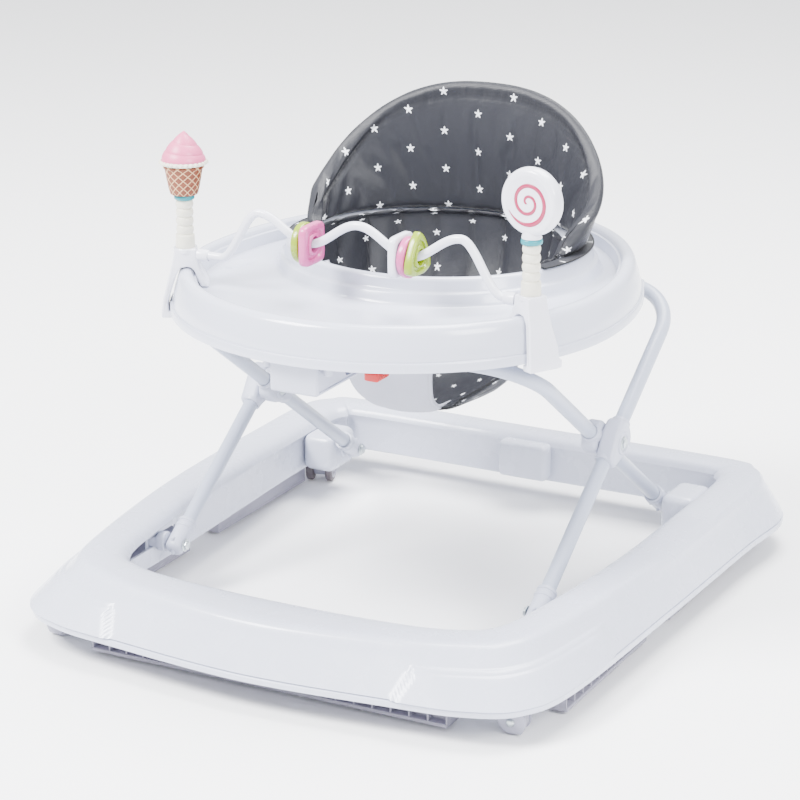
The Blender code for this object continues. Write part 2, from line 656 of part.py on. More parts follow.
def make_adjuster():
    """The housing under the tray whose slot holds the inner tube, and its release lever."""
    hub, forward = arm_frame(-1)
    bight = hub + UPPER_ARM * forward
    _, back = arm_frame(1)
    hinge_y = (hub + UPPER_ARM * back).y
    folded = hinge_y - 2 * UPPER_ARM * math.cos(LEG_ANGLE - FOLD_DOWN)
    raised = hinge_y - 2 * UPPER_ARM * math.cos(LEG_ANGLE + FOLD_UP)
    under = TRAY_Z + TRAY_FLOOR - SHELL_WALL - 0.0005
    low = TRAY_Z - HOUSING_DROP
    front = TRAY_CENTRE_Y - TRAY_RADIUS + 0.0125
    w = HOUSING_HALF_WIDTH
    housing = build("adjuster_housing", box((-w, front, low), (w, raised + 0.016, under)),
                    "fitting_white")
    room = TUBE_RADIUS + 0.0008
    combine(housing, box((-w - 0.01, folded - room, bight.z - room),
                         (w + 0.01, raised + room, bight.z + room)))
    lever_y = (folded + raised) / 2
    outline = [(lever_y - 0.013, low - 0.007), (lever_y + 0.010, low - 0.009),
               (lever_y + 0.014, low - 0.004), (lever_y + 0.014, low + 0.005),
               (lever_y - 0.013, low + 0.005)]
    lever = prism(outline, lambda p, d: Vector((d, *p)), w + GAP, w + 0.017)
    build("release_lever", lever, "red", (w, lever_y, low))
    hinge = hub + UPPER_ARM * back
    for name, side in (("left", -1), ("right", 1)):
        x = side * HINGE_X
        bracket = build(
            f"{name}_tray_hinge",
            box((x - HINGE_HALF, hinge.y - HINGE_HALF - 0.001, hinge.z - HINGE_HALF),
                (x + HINGE_HALF, hinge.y + HINGE_HALF + 0.001, under)),
            "fitting_white", Vector((x, hinge.y, hinge.z)),
        )
        combine(bracket, rod((x - 0.02, hinge.y, hinge.z), (x + 0.02, hinge.y, hinge.z),
                             TUBE_RADIUS + 0.0004))


def bar_height(x):
    """The toy bar's height: three humps with two dips, falling to level ends."""
    x = abs(x - BAR_CENTRE)
    swing = (BAR_PEAK_Z - BAR_LOW_Z) / 2
    if x < BAR_WAVE:
        return BAR_LOW_Z + swing * (1 + math.cos(2 * math.pi * x / BAR_WAVE))
    share = min((x - BAR_WAVE) / BAR_FALL, 1)
    return BAR_END_Z + (BAR_PEAK_Z - BAR_END_Z) * (1 + math.cos(math.pi * share)) / 2


def post_frame(side):
    """The radial and sideways unit vectors of the tray rim at a toy post."""
    radial = Vector((side * POST_X, POST_Y - TRAY_CENTRE_Y, 0)).normalized()
    return radial, Vector((-radial.y, radial.x, 0))


def make_clamp(name, side):
    """A saddle over the tray rim that carries a toy and one end of the bar."""
    radial, along = post_frame(side)
    r, z = TRAY_RADIUS, TRAY_Z
    outline = [
        (r - 0.0045, z - 0.008), (r + 0.0085, z - 0.008), (r + 0.0060, z + 0.014),
        (r - 0.0030, z + 0.048), (r - 0.0055, POST_BASE_Z), (r - 0.0285, POST_BASE_Z),
        (r - 0.0305, z + 0.048), (r - 0.0420, z + TRAY_FLOOR + 0.0006),
        (r - 0.0320, z + TRAY_FLOOR + 0.0006), (r - 0.0265, z + TRAY_RIM - 0.0025),
        (r - 0.0190, z + TRAY_RIM + 0.0010), (r - 0.0120, z + TRAY_RIM + 0.0002),
        (r - 0.0075, z + TRAY_RIM - 0.0078), (r + 0.0010, z + 0.0103), (r + 0.0010, z - 0.0007),
        (r - 0.0045, z - 0.0007),
    ]
    centre = Vector((0, TRAY_CENTRE_Y, 0))
    solid = prism(outline, lambda p, d: centre + p[0] * radial + d * along + Vector((0, 0, p[1])),
                  -CLAMP_HALF_WIDTH, CLAMP_HALF_WIDTH)
    clamp = build(f"{name}_toy_clamp", solid, "toy_white")
    post = Vector((side * POST_X, POST_Y, POST_BASE_Z))
    combine(clamp, rod(post - Vector((0, 0, 0.012)), post + Vector((0, 0, 0.01)),
                       PEG_RADIUS + GAP))
    bar = Vector((0, POST_Y, BAR_END_Z))
    combine(clamp, rod(bar + Vector((side * (POST_X - 0.040), 0, 0)),
                       bar + Vector((side * (POST_X - 0.0065), 0, 0)), BAR_RADIUS + GAP))


def make_toy_bar():
    end = POST_X - 0.007
    steps = 44
    path = [Vector((x, POST_Y, bar_height(x))) for x in
            [-end + 2 * end * k / steps for k in range(steps + 1)]]
    build("toy_bar", swept(path, (0, 1, 0), BAR_RADIUS), "toy_white")


def make_post(name, side, top):
    """A beaded stem with a peg in its clamp and a coloured collar under the toy."""
    beads, sleeve = 4, 0.0155
    start = sleeve + GAP
    profile = [(-0.010, PEG_RADIUS), (GAP, PEG_RADIUS), (GAP, POST_RADIUS), (sleeve, POST_RADIUS),
               (start, POST_RADIUS - 0.002)]
    pitch = (STEM_TOP - POST_BASE_Z - start) / beads
    for k in range(beads):
        low = start + k * pitch
        profile += [(low + 0.25 * pitch, POST_BEAD_RADIUS), (low + 0.75 * pitch, POST_BEAD_RADIUS),
                    (low + pitch, POST_NECK_RADIUS)]
    at = Vector((side * POST_X, POST_Y, POST_BASE_Z))
    build(f"{name}_toy_post", turned(profile, at, (0, 0, 1)), "stem_cream", at)
    collar = STEM_TOP + GAP - POST_BASE_Z
    build(f"{name}_toy_collar", turned([(collar, 0.0098), (collar + 0.001, 0.0108),
                                        (collar + 0.0045, 0.0108), (top, 0.0098)],
                                       at, (0, 0, 1)), "teal", at)


def make_toys():
    collar_top = STEM_TOP - POST_BASE_Z + 0.0055
    for name, side in (("left", -1), ("right", 1)):
        make_clamp(name, side)
        make_post(name, side, collar_top)
    make_toy_bar()
    left = Vector((-POST_X, POST_Y, POST_BASE_Z + collar_top + GAP))
    foot = CONE_RADIUS * 0.68
    cone = [(0, foot - 0.0015), (0.0015, foot), (0.028, CONE_RADIUS), (0.031, CONE_RADIUS)]
    build("ice_cream_cone", turned(cone, left, (0, 0, 1), SHAFT_SIDES), "waffle", left)
    r = CONE_RADIUS + 0.004
    scoop = [(0.031 + GAP, r - 0.003), (0.032, r), (0.0355, r), (0.0365, r - 0.0015),
             (0.044, r - 0.005), (0.051, r - 0.010), (0.057, r - 0.016), (0.063, 0.004),
             (0.067, 0.0012)]
    build("ice_cream_scoop", turned(scoop, left, (0, 0, 1), SHAFT_SIDES), "pink", left)
    right = Vector((POST_X, POST_Y, POST_BASE_Z + collar_top + GAP))
    t, r = LOLLY_THICKNESS / 2, LOLLY_RADIUS
    disc = [(-t, r - 0.009), (-t + 0.001, r - 0.005), (-t + 0.005, r), (t - 0.005, r),
            (t - 0.001, r - 0.005), (t, r - 0.009)]
    facing = Vector((math.sin(LOLLY_TURN), math.cos(LOLLY_TURN), 0))
    lolly = build("lollipop", turned(disc, right + Vector((0, 0, r + 0.003)), facing, 24),
                  "toy_white", right)
    neck = [(0, 0.0098), (0.004, 0.0090), (0.012, 0.0075)]
    combine(lolly, turned(neck, right, (0, 0, 1)), "UNION")


def bead_outline(shape, count=18):
    """The radius round a bead: a circle, a rounded square or a rounded triangle."""
    points = []
    for k in range(count):
        a = 2 * math.pi * k / count
        if shape == "square":
            r = BEAD_RADIUS * (abs(math.cos(a)) ** 4 + abs(math.sin(a)) ** 4) ** -0.25
        elif shape == "triangle":
            near = (a - math.pi / 2 + math.pi / 3) % (2 * math.pi / 3) - math.pi / 3
            r = BEAD_RADIUS * (1.22 - 0.32 * (abs(near) / (math.pi / 3)) ** 1.2)
        else:
            r = BEAD_RADIUS
        points.append((r * math.cos(a), r * math.sin(a)))
    return points


def make_bead(name, x, shape, finish):
    centre = Vector((x, POST_Y, bar_height(x)))
    outline = bead_outline(shape)
    half, edge = BEAD_WIDTH / 2, 0.0012

    def ring(scale, depth):
        return [centre + Vector((depth, scale * u, scale * v)) for u, v in outline]

    def hole(depth):
        turns = [2 * math.pi * k / len(outline) for k in range(len(outline))]
        return [centre + Vector((depth, BEAD_HOLE * math.cos(a), BEAD_HOLE * math.sin(a)))
                for a in turns]

    rings = [ring(0.93, -half), ring(1, -half + edge), ring(1, half - edge), ring(0.93, half),
             hole(half), hole(-half)]
    build(name, loft(rings, wrap=True), finish, centre)


def make_beads():
    left, dip = BAR_CENTRE - BAR_WAVE / 2, BAR_CENTRE + BAR_WAVE / 2
    make_bead("lime_ring_bead", left - BEAD_PITCH * 0.6, "ring", "lime")
    make_bead("pink_square_bead", left + BEAD_PITCH * 0.4, "square", "pink")
    make_bead("white_square_bead", dip - BEAD_PITCH, "square", "toy_white")
    make_bead("pink_ring_bead", dip, "ring", "pink")
    make_bead("lime_triangle_bead", dip + BEAD_PITCH, "triangle", "lime")


def make_seat_back():
    """A curved pad round the rear of the tray's opening, highest in the middle."""
    bottom = TRAY_Z + TRAY_RING + 0.0015
    half = BACK_THICKNESS / 2
    count = 28
    rings = []
    for k in range(count + 1):
        turn = BACK_REACH * (2 * k / count - 1)
        top = BACK_TOP_Z - BACK_DROP * abs(math.sin(0.8 * turn)) ** BACK_FLATNESS
        low = Vector(((OPENING_HALF_WIDTH - 0.005) * math.sin(turn),
                      OPENING_Y + 0.011 + (OPENING_HALF_LENGTH - 0.021) * math.cos(turn), bottom))
        high = Vector(((OPENING_HALF_WIDTH + 0.010) * math.sin(turn),
                       OPENING_Y + 0.043 + (OPENING_HALF_LENGTH - 0.061) * math.cos(turn), top))
        out = Vector((math.sin(turn), math.cos(turn), 0))
        ring = []
        for share, depth in ((0, -0.6), (0, 0.6), (0.3, 1), (0.85, 1), (0.97, 0.6), (1, 0),
                             (0.97, -0.6), (0.85, -1), (0.3, -1)):
            ring.append(low.lerp(high, share) + depth * half * out)
        rings.append(ring)
    build("seat_back_pad", loft(rings), "seat_grey")


def sling(stations, columns=13):
    """Rows of a hanging cloth: each is (middle y, side y, middle z, side z, half width)."""
    grid = []
    for mid_y, side_y, mid_z, side_z, half in stations:
        row = []
        for k in range(columns):
            a = SLING_REACH * (2 * k / (columns - 1) - 1)
            rise = (1 - math.cos(a)) / (1 - math.cos(SLING_REACH))
            row.append(Vector((half * math.sin(a) / math.sin(SLING_REACH),
                               mid_y + (side_y - mid_y) * rise, mid_z + (side_z - mid_z) * rise)))
        grid.append(row)
    return grid


def make_seat_sling():
    """The hanging seat: a rear and bottom sling, and a front panel between the legs."""
    top = TRAY_Z + TRAY_RING - 0.006
    rear = OPENING_Y + OPENING_HALF_LENGTH - 0.011
    wide = OPENING_HALF_WIDTH - 0.010
    seat = sling([
        (rear, OPENING_Y - 0.010, top, top, wide),
        (rear - 0.012, OPENING_Y - 0.013, top - 0.050, top - 0.046, wide - 0.007),
        (rear - 0.050, OPENING_Y - 0.019, top - 0.120, top - 0.072, wide - 0.020),
        (rear - 0.085, OPENING_Y - 0.029, top - 0.150, top - 0.095, wide - 0.030),
        (rear - 0.125, OPENING_Y - 0.041, top - 0.166, top - 0.118, wide - 0.042),
        (rear - 0.190, OPENING_Y - 0.066, top - 0.172, top - 0.146, wide - 0.082),
    ])
    build("seat_sling", sheet([row[::-1] for row in seat], -FABRIC), "seat_grey")
    front = OPENING_Y - OPENING_HALF_LENGTH + 0.008
    panel = sling([
        (front, front + 0.025, top, top, 0.075),
        (front + 0.004, front + 0.020, top - 0.040, top - 0.040, 0.060),
        (front + 0.018, front + 0.028, top - 0.090, top - 0.088, 0.048),
        (front + 0.042, front + 0.048, top - 0.135, top - 0.132, 0.039),
        (front + 0.078, front + 0.080, top - 0.158, top - 0.156, 0.033),
    ], 9)
    build("crotch_panel", sheet(panel, FABRIC * 0.75), "lining_white")


clear_scene()
make_base()
make_brake_pads()
for side_name, side_sign in (("front_left", -1), ("front_right", 1)):
    make_front_caster(side_name, side_sign)
for side_name, side_sign in (("rear_left", -1), ("rear_right", 1)):
    make_rear_caster(side_name, side_sign)
make_frame()
make_tray()
make_adjuster()
make_toys()
make_beads()
make_seat_back()
make_seat_sling()
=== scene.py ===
# A baby walker on a pale studio floor: moulded base, scissor frame, toy tray and padded seat.
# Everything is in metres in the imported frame. The walker's front faces -Y.
import math

import bpy
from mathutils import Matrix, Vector, noise


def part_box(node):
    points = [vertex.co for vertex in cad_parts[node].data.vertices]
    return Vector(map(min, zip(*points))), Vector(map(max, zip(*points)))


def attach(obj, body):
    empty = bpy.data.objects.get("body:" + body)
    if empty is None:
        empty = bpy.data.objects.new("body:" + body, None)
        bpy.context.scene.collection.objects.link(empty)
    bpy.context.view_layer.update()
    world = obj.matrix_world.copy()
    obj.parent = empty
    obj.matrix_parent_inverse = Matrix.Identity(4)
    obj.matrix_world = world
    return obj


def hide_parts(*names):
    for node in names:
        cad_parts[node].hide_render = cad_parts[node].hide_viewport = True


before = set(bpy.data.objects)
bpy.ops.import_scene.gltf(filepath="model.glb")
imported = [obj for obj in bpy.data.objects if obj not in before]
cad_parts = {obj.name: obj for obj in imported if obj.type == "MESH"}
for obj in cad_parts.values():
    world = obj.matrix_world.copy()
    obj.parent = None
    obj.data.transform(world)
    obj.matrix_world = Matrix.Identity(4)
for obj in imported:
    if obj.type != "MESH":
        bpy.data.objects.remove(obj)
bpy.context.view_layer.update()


def hexColour(code):
    channels = [int(code[i:i + 2], 16) / 255 for i in (1, 3, 5)]
    return tuple(c / 12.92 if c <= 0.04045 else ((c + 0.055) / 1.055) ** 2.4 for c in channels) + (1.0,)


def addNode(tree, kind, sockets=None, **settings):
    node = tree.nodes.new(kind)
    for key, value in settings.items():
        setattr(node, key, value)
    for key, value in (sockets or {}).items():
        if isinstance(value, bpy.types.NodeSocket):
            tree.links.new(value, node.inputs[key])
        else:
            node.inputs[key].default_value = value
    return node


def calc(tree, operation, *values, clamp=False):
    node = addNode(tree, "ShaderNodeMath", dict(enumerate(values)), operation=operation)
    node.use_clamp = clamp
    return node.outputs[0]


def startMaterial(name, **sockets):
    made = bpy.data.materials.new(name)
    made.use_nodes = True
    shader = made.node_tree.nodes["Principled BSDF"]
    for key, value in sockets.items():
        shader.inputs[key.replace("_", " ")].default_value = value
    return made, made.node_tree, shader


def mouldedPlastic(name, code, roughness, grain=0.8, depth=0.03, wear=0.03, gloss=0.0, ior=1.49):
    # grain is the mould texture's size in millimetres, wear how far the colour drifts
    made, tree, shader = startMaterial(name, IOR=ior, Coat_Weight=gloss, Coat_Roughness=0.12)
    place = addNode(tree, "ShaderNodeTexCoord").outputs["Object"]
    cloud = addNode(tree, "ShaderNodeTexNoise", {"Vector": place, "Scale": 11.0, "Detail": 3.0})
    base = hexColour(code)
    low = tuple(c * (1 - wear) for c in base[:3]) + (1.0,)
    high = tuple(min(c * (1 + wear * 0.6), 1.0) for c in base[:3]) + (1.0,)
    tint = addNode(tree, "ShaderNodeMix", {0: cloud.outputs["Fac"], 6: low, 7: high}, data_type="RGBA")
    tree.links.new(tint.outputs[2], shader.inputs["Base Color"])
    patch = addNode(tree, "ShaderNodeTexNoise", {"Vector": place, "Scale": 38.0, "Detail": 4.0})
    rough = addNode(tree, "ShaderNodeMapRange", {
        "Value": patch.outputs["Fac"], "From Min": 0.3, "From Max": 0.7,
        "To Min": roughness * 0.82, "To Max": roughness * 1.2,
    })
    tree.links.new(rough.outputs[0], shader.inputs["Roughness"])
    skin = addNode(tree, "ShaderNodeTexNoise", {"Vector": place, "Scale": 1000 / grain, "Detail": 2.0})
    bump = addNode(tree, "ShaderNodeBump", {
        "Height": skin.outputs["Fac"], "Strength": 0.5, "Distance": grain * depth / 1000,
    })
    tree.links.new(bump.outputs[0], shader.inputs["Normal"])
    return made


def zincSteel():
    # zinc plated steel bolts, tumbled: bright with a fine turned grain
    made, tree, shader = startMaterial("zincPlatedSteel", Metallic=1.0)
    place = addNode(tree, "ShaderNodeTexCoord").outputs["Object"]
    grain = addNode(tree, "ShaderNodeTexNoise", {"Vector": place, "Scale": 900.0, "Detail": 3.0})
    tint = addNode(tree, "ShaderNodeMix", {
        0: grain.outputs["Fac"], 6: hexColour("#a9b2b6"), 7: hexColour("#d3dadc"),
    }, data_type="RGBA")
    tree.links.new(tint.outputs[2], shader.inputs["Base Color"])
    rough = addNode(tree, "ShaderNodeMapRange", {"Value": grain.outputs["Fac"], "To Min": 0.22,
                                                 "To Max": 0.42})
    tree.links.new(rough.outputs[0], shader.inputs["Roughness"])
    return made


def wovenCloth(name, code, threadMm=1.3, roughness=0.55, sheen=0.25, stars=False, weave=0.5):
    # taffeta woven thread by thread, drawn coarser than its real 0.2 mm thread so that it shows.
    # It follows the piece's own UV map, which is in metres; a mask on each point says where the cloth puckers
    # and where shade is painted darker into seams, creases and edges.
    made, tree, shader = startMaterial(name, IOR=1.5, Sheen_Weight=sheen, Sheen_Roughness=0.4,
                                       Specular_IOR_Level=0.28)
    flat = addNode(tree, "ShaderNodeUVMap", uv_map="clothMap").outputs[0]
    split = addNode(tree, "ShaderNodeSeparateXYZ", {0: flat})
    u, v = split.outputs[0], split.outputs[1]
    puckerShadeMask = addNode(tree, "ShaderNodeAttribute", attribute_name="puckerAndShade").outputs["Fac"]
    cloud = addNode(tree, "ShaderNodeTexNoise", {"Vector": flat, "Scale": 14.0, "Detail": 3.0})
    base = hexColour(code)
    low = tuple(c * 0.86 for c in base[:3]) + (1.0,)
    high = tuple(c * 1.1 for c in base[:3]) + (1.0,)
    tint = addNode(tree, "ShaderNodeMix", {0: cloud.outputs["Fac"], 6: low, 7: high}, data_type="RGBA")
    # painted shade: the colour darkens where the mask marks seams, creases and edges
    dark = addNode(tree, "ShaderNodeMix", {
        0: calc(tree, "MULTIPLY", puckerShadeMask, 0.35), 6: tint.outputs[2],
        7: tuple(c * 0.35 for c in base[:3]) + (1.0,),
    }, data_type="RGBA")
    colour = dark.outputs[2]
    if stars:
        # printed five-point stars in staggered rows
        pitch, rowHeight, radius = starPrint["pitch"], starPrint["rowHeight"], starPrint["radius"]
        row = calc(tree, "FLOOR", calc(tree, "DIVIDE", v, rowHeight))
        odd = calc(tree, "MULTIPLY", calc(tree, "MODULO", calc(tree, "ABSOLUTE", row), 2.0), 0.5)
        across = calc(tree, "ADD", calc(tree, "DIVIDE", u, pitch), odd)
        x = calc(tree, "SUBTRACT", calc(tree, "FRACT", across), 0.5)
        y = calc(tree, "SUBTRACT", calc(tree, "FRACT", calc(tree, "DIVIDE", v, rowHeight)), 0.5)
        x = calc(tree, "MULTIPLY", x, pitch)
        y = calc(tree, "MULTIPLY", y, rowHeight)
        reach = calc(tree, "SQRT", calc(tree, "ADD", calc(tree, "MULTIPLY", x, x),
                                        calc(tree, "MULTIPLY", y, y)))
        turn = calc(tree, "MULTIPLY", calc(tree, "ARCTAN2", x, y), 5 / (2 * math.pi))
        point = calc(tree, "ABSOLUTE",
                     calc(tree, "SUBTRACT", calc(tree, "FRACT", calc(tree, "ADD", turn, 10.5)), 0.5))
        ray = calc(tree, "POWER", calc(tree, "SUBTRACT", 1.0, calc(tree, "MULTIPLY", point, 2.0)), 1.35)
        edge = calc(tree, "ADD", radius * 0.40, calc(tree, "MULTIPLY", ray, radius * 0.66))
        inside = calc(tree, "DIVIDE", calc(tree, "SUBTRACT", edge, reach), 0.00035, clamp=True)
        printed = addNode(tree, "ShaderNodeMix", {0: inside, 6: colour, 7: hexColour(starPrint["ink"])},
                          data_type="RGBA")
        colour = printed.outputs[2]
    tree.links.new(colour, shader.inputs["Base Color"])
    rough = addNode(tree, "ShaderNodeMapRange", {
        "Value": cloud.outputs["Fac"], "To Min": roughness * 0.85, "To Max": roughness * 1.15,
    })
    tree.links.new(rough.outputs[0], shader.inputs["Roughness"])
    threads = 0.314 / (threadMm / 1000)
    warp = addNode(tree, "ShaderNodeTexWave", {"Vector": flat, "Scale": threads}, bands_direction="X")
    weft = addNode(tree, "ShaderNodeTexWave", {"Vector": flat, "Scale": threads}, bands_direction="Y")
    woven = calc(tree, "MULTIPLY", warp.outputs["Fac"], weft.outputs["Fac"])
    creases = addNode(tree, "ShaderNodeMapping", {"Vector": flat, "Scale": (95.0, 22.0, 1.0)})
    pucker = addNode(tree, "ShaderNodeTexNoise", {"Vector": creases.outputs[0], "Scale": 1.0, "Detail": 2.0})
    drape = addNode(tree, "ShaderNodeTexNoise", {"Vector": flat, "Scale": 24.0, "Detail": 3.0,
                                                 "Distortion": 0.6})
    folds = calc(tree, "ADD", calc(tree, "MULTIPLY", pucker.outputs["Fac"], puckerShadeMask),
                 calc(tree, "MULTIPLY", drape.outputs["Fac"], 0.3))
    first = addNode(tree, "ShaderNodeBump", {"Height": folds, "Strength": 0.7, "Distance": 0.004})
    second = addNode(tree, "ShaderNodeBump", {
        "Height": woven, "Normal": first.outputs[0], "Strength": weave, "Distance": 0.0002,
    })
    tree.links.new(second.outputs[0], shader.inputs["Normal"])
    return made


def wafflePlastic():
    # moulded PVC cone with a raised cream lattice, the lines 5 mm apart round the cup
    made, tree, shader = startMaterial("wafflePvc", IOR=1.5, Roughness=0.55)
    flat = addNode(tree, "ShaderNodeUVMap", uv_map="clothMap").outputs[0]
    split = addNode(tree, "ShaderNodeSeparateXYZ", {0: flat})
    u, v = split.outputs[0], split.outputs[1]
    lines = []
    for sign in ("ADD", "SUBTRACT"):
        slant = calc(tree, "DIVIDE", calc(tree, sign, u, v), waffleLattice["pitch"])
        away = calc(tree, "ABSOLUTE", calc(tree, "SUBTRACT", calc(tree, "FRACT", slant), 0.5))
        lines.append(calc(tree, "MULTIPLY", calc(tree, "SUBTRACT", away, 0.5 - waffleLattice["line"]),
                          1 / 0.04, clamp=True))
    net = calc(tree, "MAXIMUM", *lines)
    place = addNode(tree, "ShaderNodeTexCoord").outputs["Object"]
    crumb = addNode(tree, "ShaderNodeTexNoise", {"Vector": place, "Scale": 240.0, "Detail": 4.0})
    crust = addNode(tree, "ShaderNodeMix", {
        0: crumb.outputs["Fac"], 6: hexColour("#56200a"), 7: hexColour("#82421f"),
    }, data_type="RGBA")
    colour = addNode(tree, "ShaderNodeMix", {0: net, 6: crust.outputs[2], 7: hexColour("#cda378")},
                     data_type="RGBA")
    tree.links.new(colour.outputs[2], shader.inputs["Base Color"])
    bump = addNode(tree, "ShaderNodeBump", {"Height": net, "Strength": 0.8, "Distance": 0.0006})
    tree.links.new(bump.outputs[0], shader.inputs["Normal"])
    return made


starPrint = {"pitch": 0.084, "rowHeight": 0.0215, "radius": 0.0050, "ink": "#eceef4"}
waffleLattice = {"pitch": 0.0085, "line": 0.10}

finishes = {
    # injection moulded polypropylene: bright cool white with soft reflections
    "basePolypropylene": mouldedPlastic("basePolypropylene", "#c0c4d4", 0.26, grain=1.6, depth=0.015,
                                        wear=0.02, gloss=0.25),
    # the same resin from a polished mould, so it reflects more
    "trayPolypropylene": mouldedPlastic("trayPolypropylene", "#c2c6d6", 0.2, grain=2.2, depth=0.01,
                                        wear=0.02, gloss=0.4),
    # epoxy powder coat on steel tube: satin, with a faint orange peel
    "powderCoatedSteel": mouldedPlastic("powderCoatedSteel", "#a9b0c2", 0.34, grain=1.3, depth=0.03,
                                        wear=0.02, gloss=0.1),
    # nylon fittings, satin
    "satinNylon": mouldedPlastic("satinNylon", "#b4b8c9", 0.38, grain=0.9, depth=0.03, wear=0.03),
    # brake pads in a softer, greyer compound
    "softPadCompound": mouldedPlastic("softPadCompound", "#918f9e", 0.5, grain=1.2, depth=0.05, wear=0.05),
    "casterNylon": mouldedPlastic("casterNylon", "#9d9dad", 0.36, grain=0.9, depth=0.03, wear=0.04),
    # thermoplastic rubber tyres: dull and a little dusty
    "tyreRubber": mouldedPlastic("tyreRubber", "#6b6467", 0.72, grain=0.7, depth=0.1, wear=0.12, ior=1.5),
    "zincPlatedSteel": zincSteel(),
    "glossyAbs": mouldedPlastic("glossyAbs", "#dcdde8", 0.22, grain=1.5, depth=0.012, wear=0.015, gloss=0.3,
                                ior=1.53),
    "creamPvc": mouldedPlastic("creamPvc", "#dad7c8", 0.42, grain=0.8, depth=0.04, wear=0.03, ior=1.52),
    "tealPvc": mouldedPlastic("tealPvc", "#04808b", 0.36, grain=0.8, depth=0.03, wear=0.04, ior=1.52),
    "pinkAbs": mouldedPlastic("pinkAbs", "#c4508f", 0.28, grain=1.2, depth=0.015, wear=0.03, gloss=0.2,
                              ior=1.53),
    "creamTopPink": mouldedPlastic("creamTopPink", "#d4648f", 0.36, grain=0.9, depth=0.05, wear=0.05,
                                   ior=1.52),
    "candyPink": mouldedPlastic("candyPink", "#9a0646", 0.3, grain=0.7, depth=0.05, wear=0.06, gloss=0.2,
                                ior=1.52),
    "limeAbs": mouldedPlastic("limeAbs", "#869c00", 0.26, grain=1.2, depth=0.015, wear=0.03, gloss=0.25,
                              ior=1.53),
    "redAcetal": mouldedPlastic("redAcetal", "#b80308", 0.3, grain=1.0, depth=0.03, wear=0.04, ior=1.48),
    # satin polyester taffeta with a white star print
    "starTaffeta": wovenCloth("starTaffeta", "#25262c", stars=True, sheen=0.05, roughness=0.4),
    "plainTaffeta": wovenCloth("plainTaffeta", "#17181b", sheen=0.05, roughness=0.5),
    "cottonLining": wovenCloth("cottonLining", "#b5b7c4", threadMm=1.1, sheen=0.15, roughness=0.8, weave=0.7),
    "wafflePvc": wafflePlastic(),
}
print("materials ready")


def deselect():
    if bpy.context.object and bpy.context.object.mode != "OBJECT":
        bpy.ops.object.mode_set(mode="OBJECT")
    bpy.ops.object.select_all(action="DESELECT")


def activate(piece):
    deselect()
    piece.select_set(True)
    bpy.context.view_layer.objects.active = piece


def applyModifier(piece, kind, **settings):
    activate(piece)
    step = piece.modifiers.new(kind.lower(), kind)
    for key, value in settings.items():
        setattr(step, key, value)
    bpy.ops.object.modifier_apply(modifier=step.name)


def tidyMesh(piece, merge=1e-5):
    activate(piece)
    bpy.ops.object.mode_set(mode="EDIT")
    bpy.ops.mesh.select_all(action="SELECT")
    if merge:
        bpy.ops.mesh.remove_doubles(threshold=merge)
    bpy.ops.mesh.normals_make_consistent(inside=False)
    bpy.ops.object.mode_set(mode="OBJECT")


def finishPiece(piece, body, surface, replaced=(), angle=38):
    activate(piece)
    bpy.ops.object.transform_apply(location=True, rotation=True, scale=True)
    bpy.ops.object.shade_smooth_by_angle(angle=math.radians(angle))
    piece.data.materials.clear()
    piece.data.materials.append(finishes[surface])
    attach(piece, body)
    if replaced:
        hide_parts(*replaced)
    return piece


def gridPiece(name, rows, closed=True, mapAt=None, merge=1e-5):
    # a grid primitive whose points are then put in their places, row by row
    deselect()
    bpy.ops.mesh.primitive_grid_add(x_subdivisions=len(rows[0]) - 1, y_subdivisions=len(rows) - 1, size=1)
    piece = bpy.context.object
    piece.name = name
    points = [tuple(p) for row in rows for p in row]
    for vert, point in zip(piece.data.vertices, points):
        vert.co = point
    if mapAt:
        piece.data.uv_layers[0].name = "clothMap"
        spots = [mapAt(i, j) for i in range(len(rows)) for j in range(len(rows[0]))]
        for loop in piece.data.loops:
            piece.data.uv_layers[0].data[loop.index].uv = spots[loop.vertex_index]
    if closed:
        tidyMesh(piece, merge)
    return piece


def ringPiece(name, rings, mapAt=None):
    # rings of equal length, each closed on itself by repeating its first point
    rows = [list(ring) + [ring[0]] for ring in rings]
    return gridPiece(name, rows, mapAt=mapAt)


def turnedPiece(name, profile, at, axis=(0, 0, 1), steps=48, mapAt=None):
    # profile is (distance along the axis, radius), from one end round to the other
    axis = Vector(axis).normalized()
    side = Vector((0, 0, 1)) if abs(axis.z) < 0.9 else Vector((1, 0, 0))
    u = axis.cross(side).normalized()
    v = axis.cross(u)
    rings = []
    for along, radius in profile:
        turns = [2 * math.pi * k / steps for k in range(steps)]
        rings.append([Vector(at) + along * axis + radius * (math.cos(a) * u + math.sin(a) * v)
                      for a in turns])
    return ringPiece(name, rings, mapAt)


def tubePiece(name, points, radius, cyclic=False, resolution=5):
    deselect()
    bpy.ops.curve.primitive_bezier_curve_add()
    piece = bpy.context.object
    piece.name = name
    line = piece.data
    line.splines.clear()
    spline = line.splines.new("POLY")
    spline.points.add(len(points) - 1)
    for spot, point in zip(spline.points, points):
        spot.co = (*point, 1)
    spline.use_cyclic_u = cyclic
    line.bevel_depth = radius
    line.bevel_resolution = resolution
    line.use_fill_caps = True
    bpy.ops.object.convert(target="MESH")
    return bpy.context.object


def outlinePiece(name, points, shift, bevel=0.0, segments=3, clampAngle=30):
    # a flat outline, filled, extruded by a shift and given rounded edges
    deselect()
    bpy.ops.mesh.primitive_circle_add(vertices=len(points), radius=1, fill_type="NGON")
    piece = bpy.context.object
    piece.name = name
    for vert, point in zip(piece.data.vertices, points):
        vert.co = point
    bpy.ops.object.mode_set(mode="EDIT")
    bpy.ops.mesh.select_all(action="SELECT")
    bpy.ops.mesh.extrude_region_move(TRANSFORM_OT_translate={"value": tuple(shift)})
    bpy.ops.object.mode_set(mode="OBJECT")
    tidyMesh(piece)
    if bevel:
        applyModifier(piece, "BEVEL", width=bevel, segments=segments, limit_method="ANGLE",
                      angle_limit=math.radians(clampAngle), harden_normals=False)
    return piece


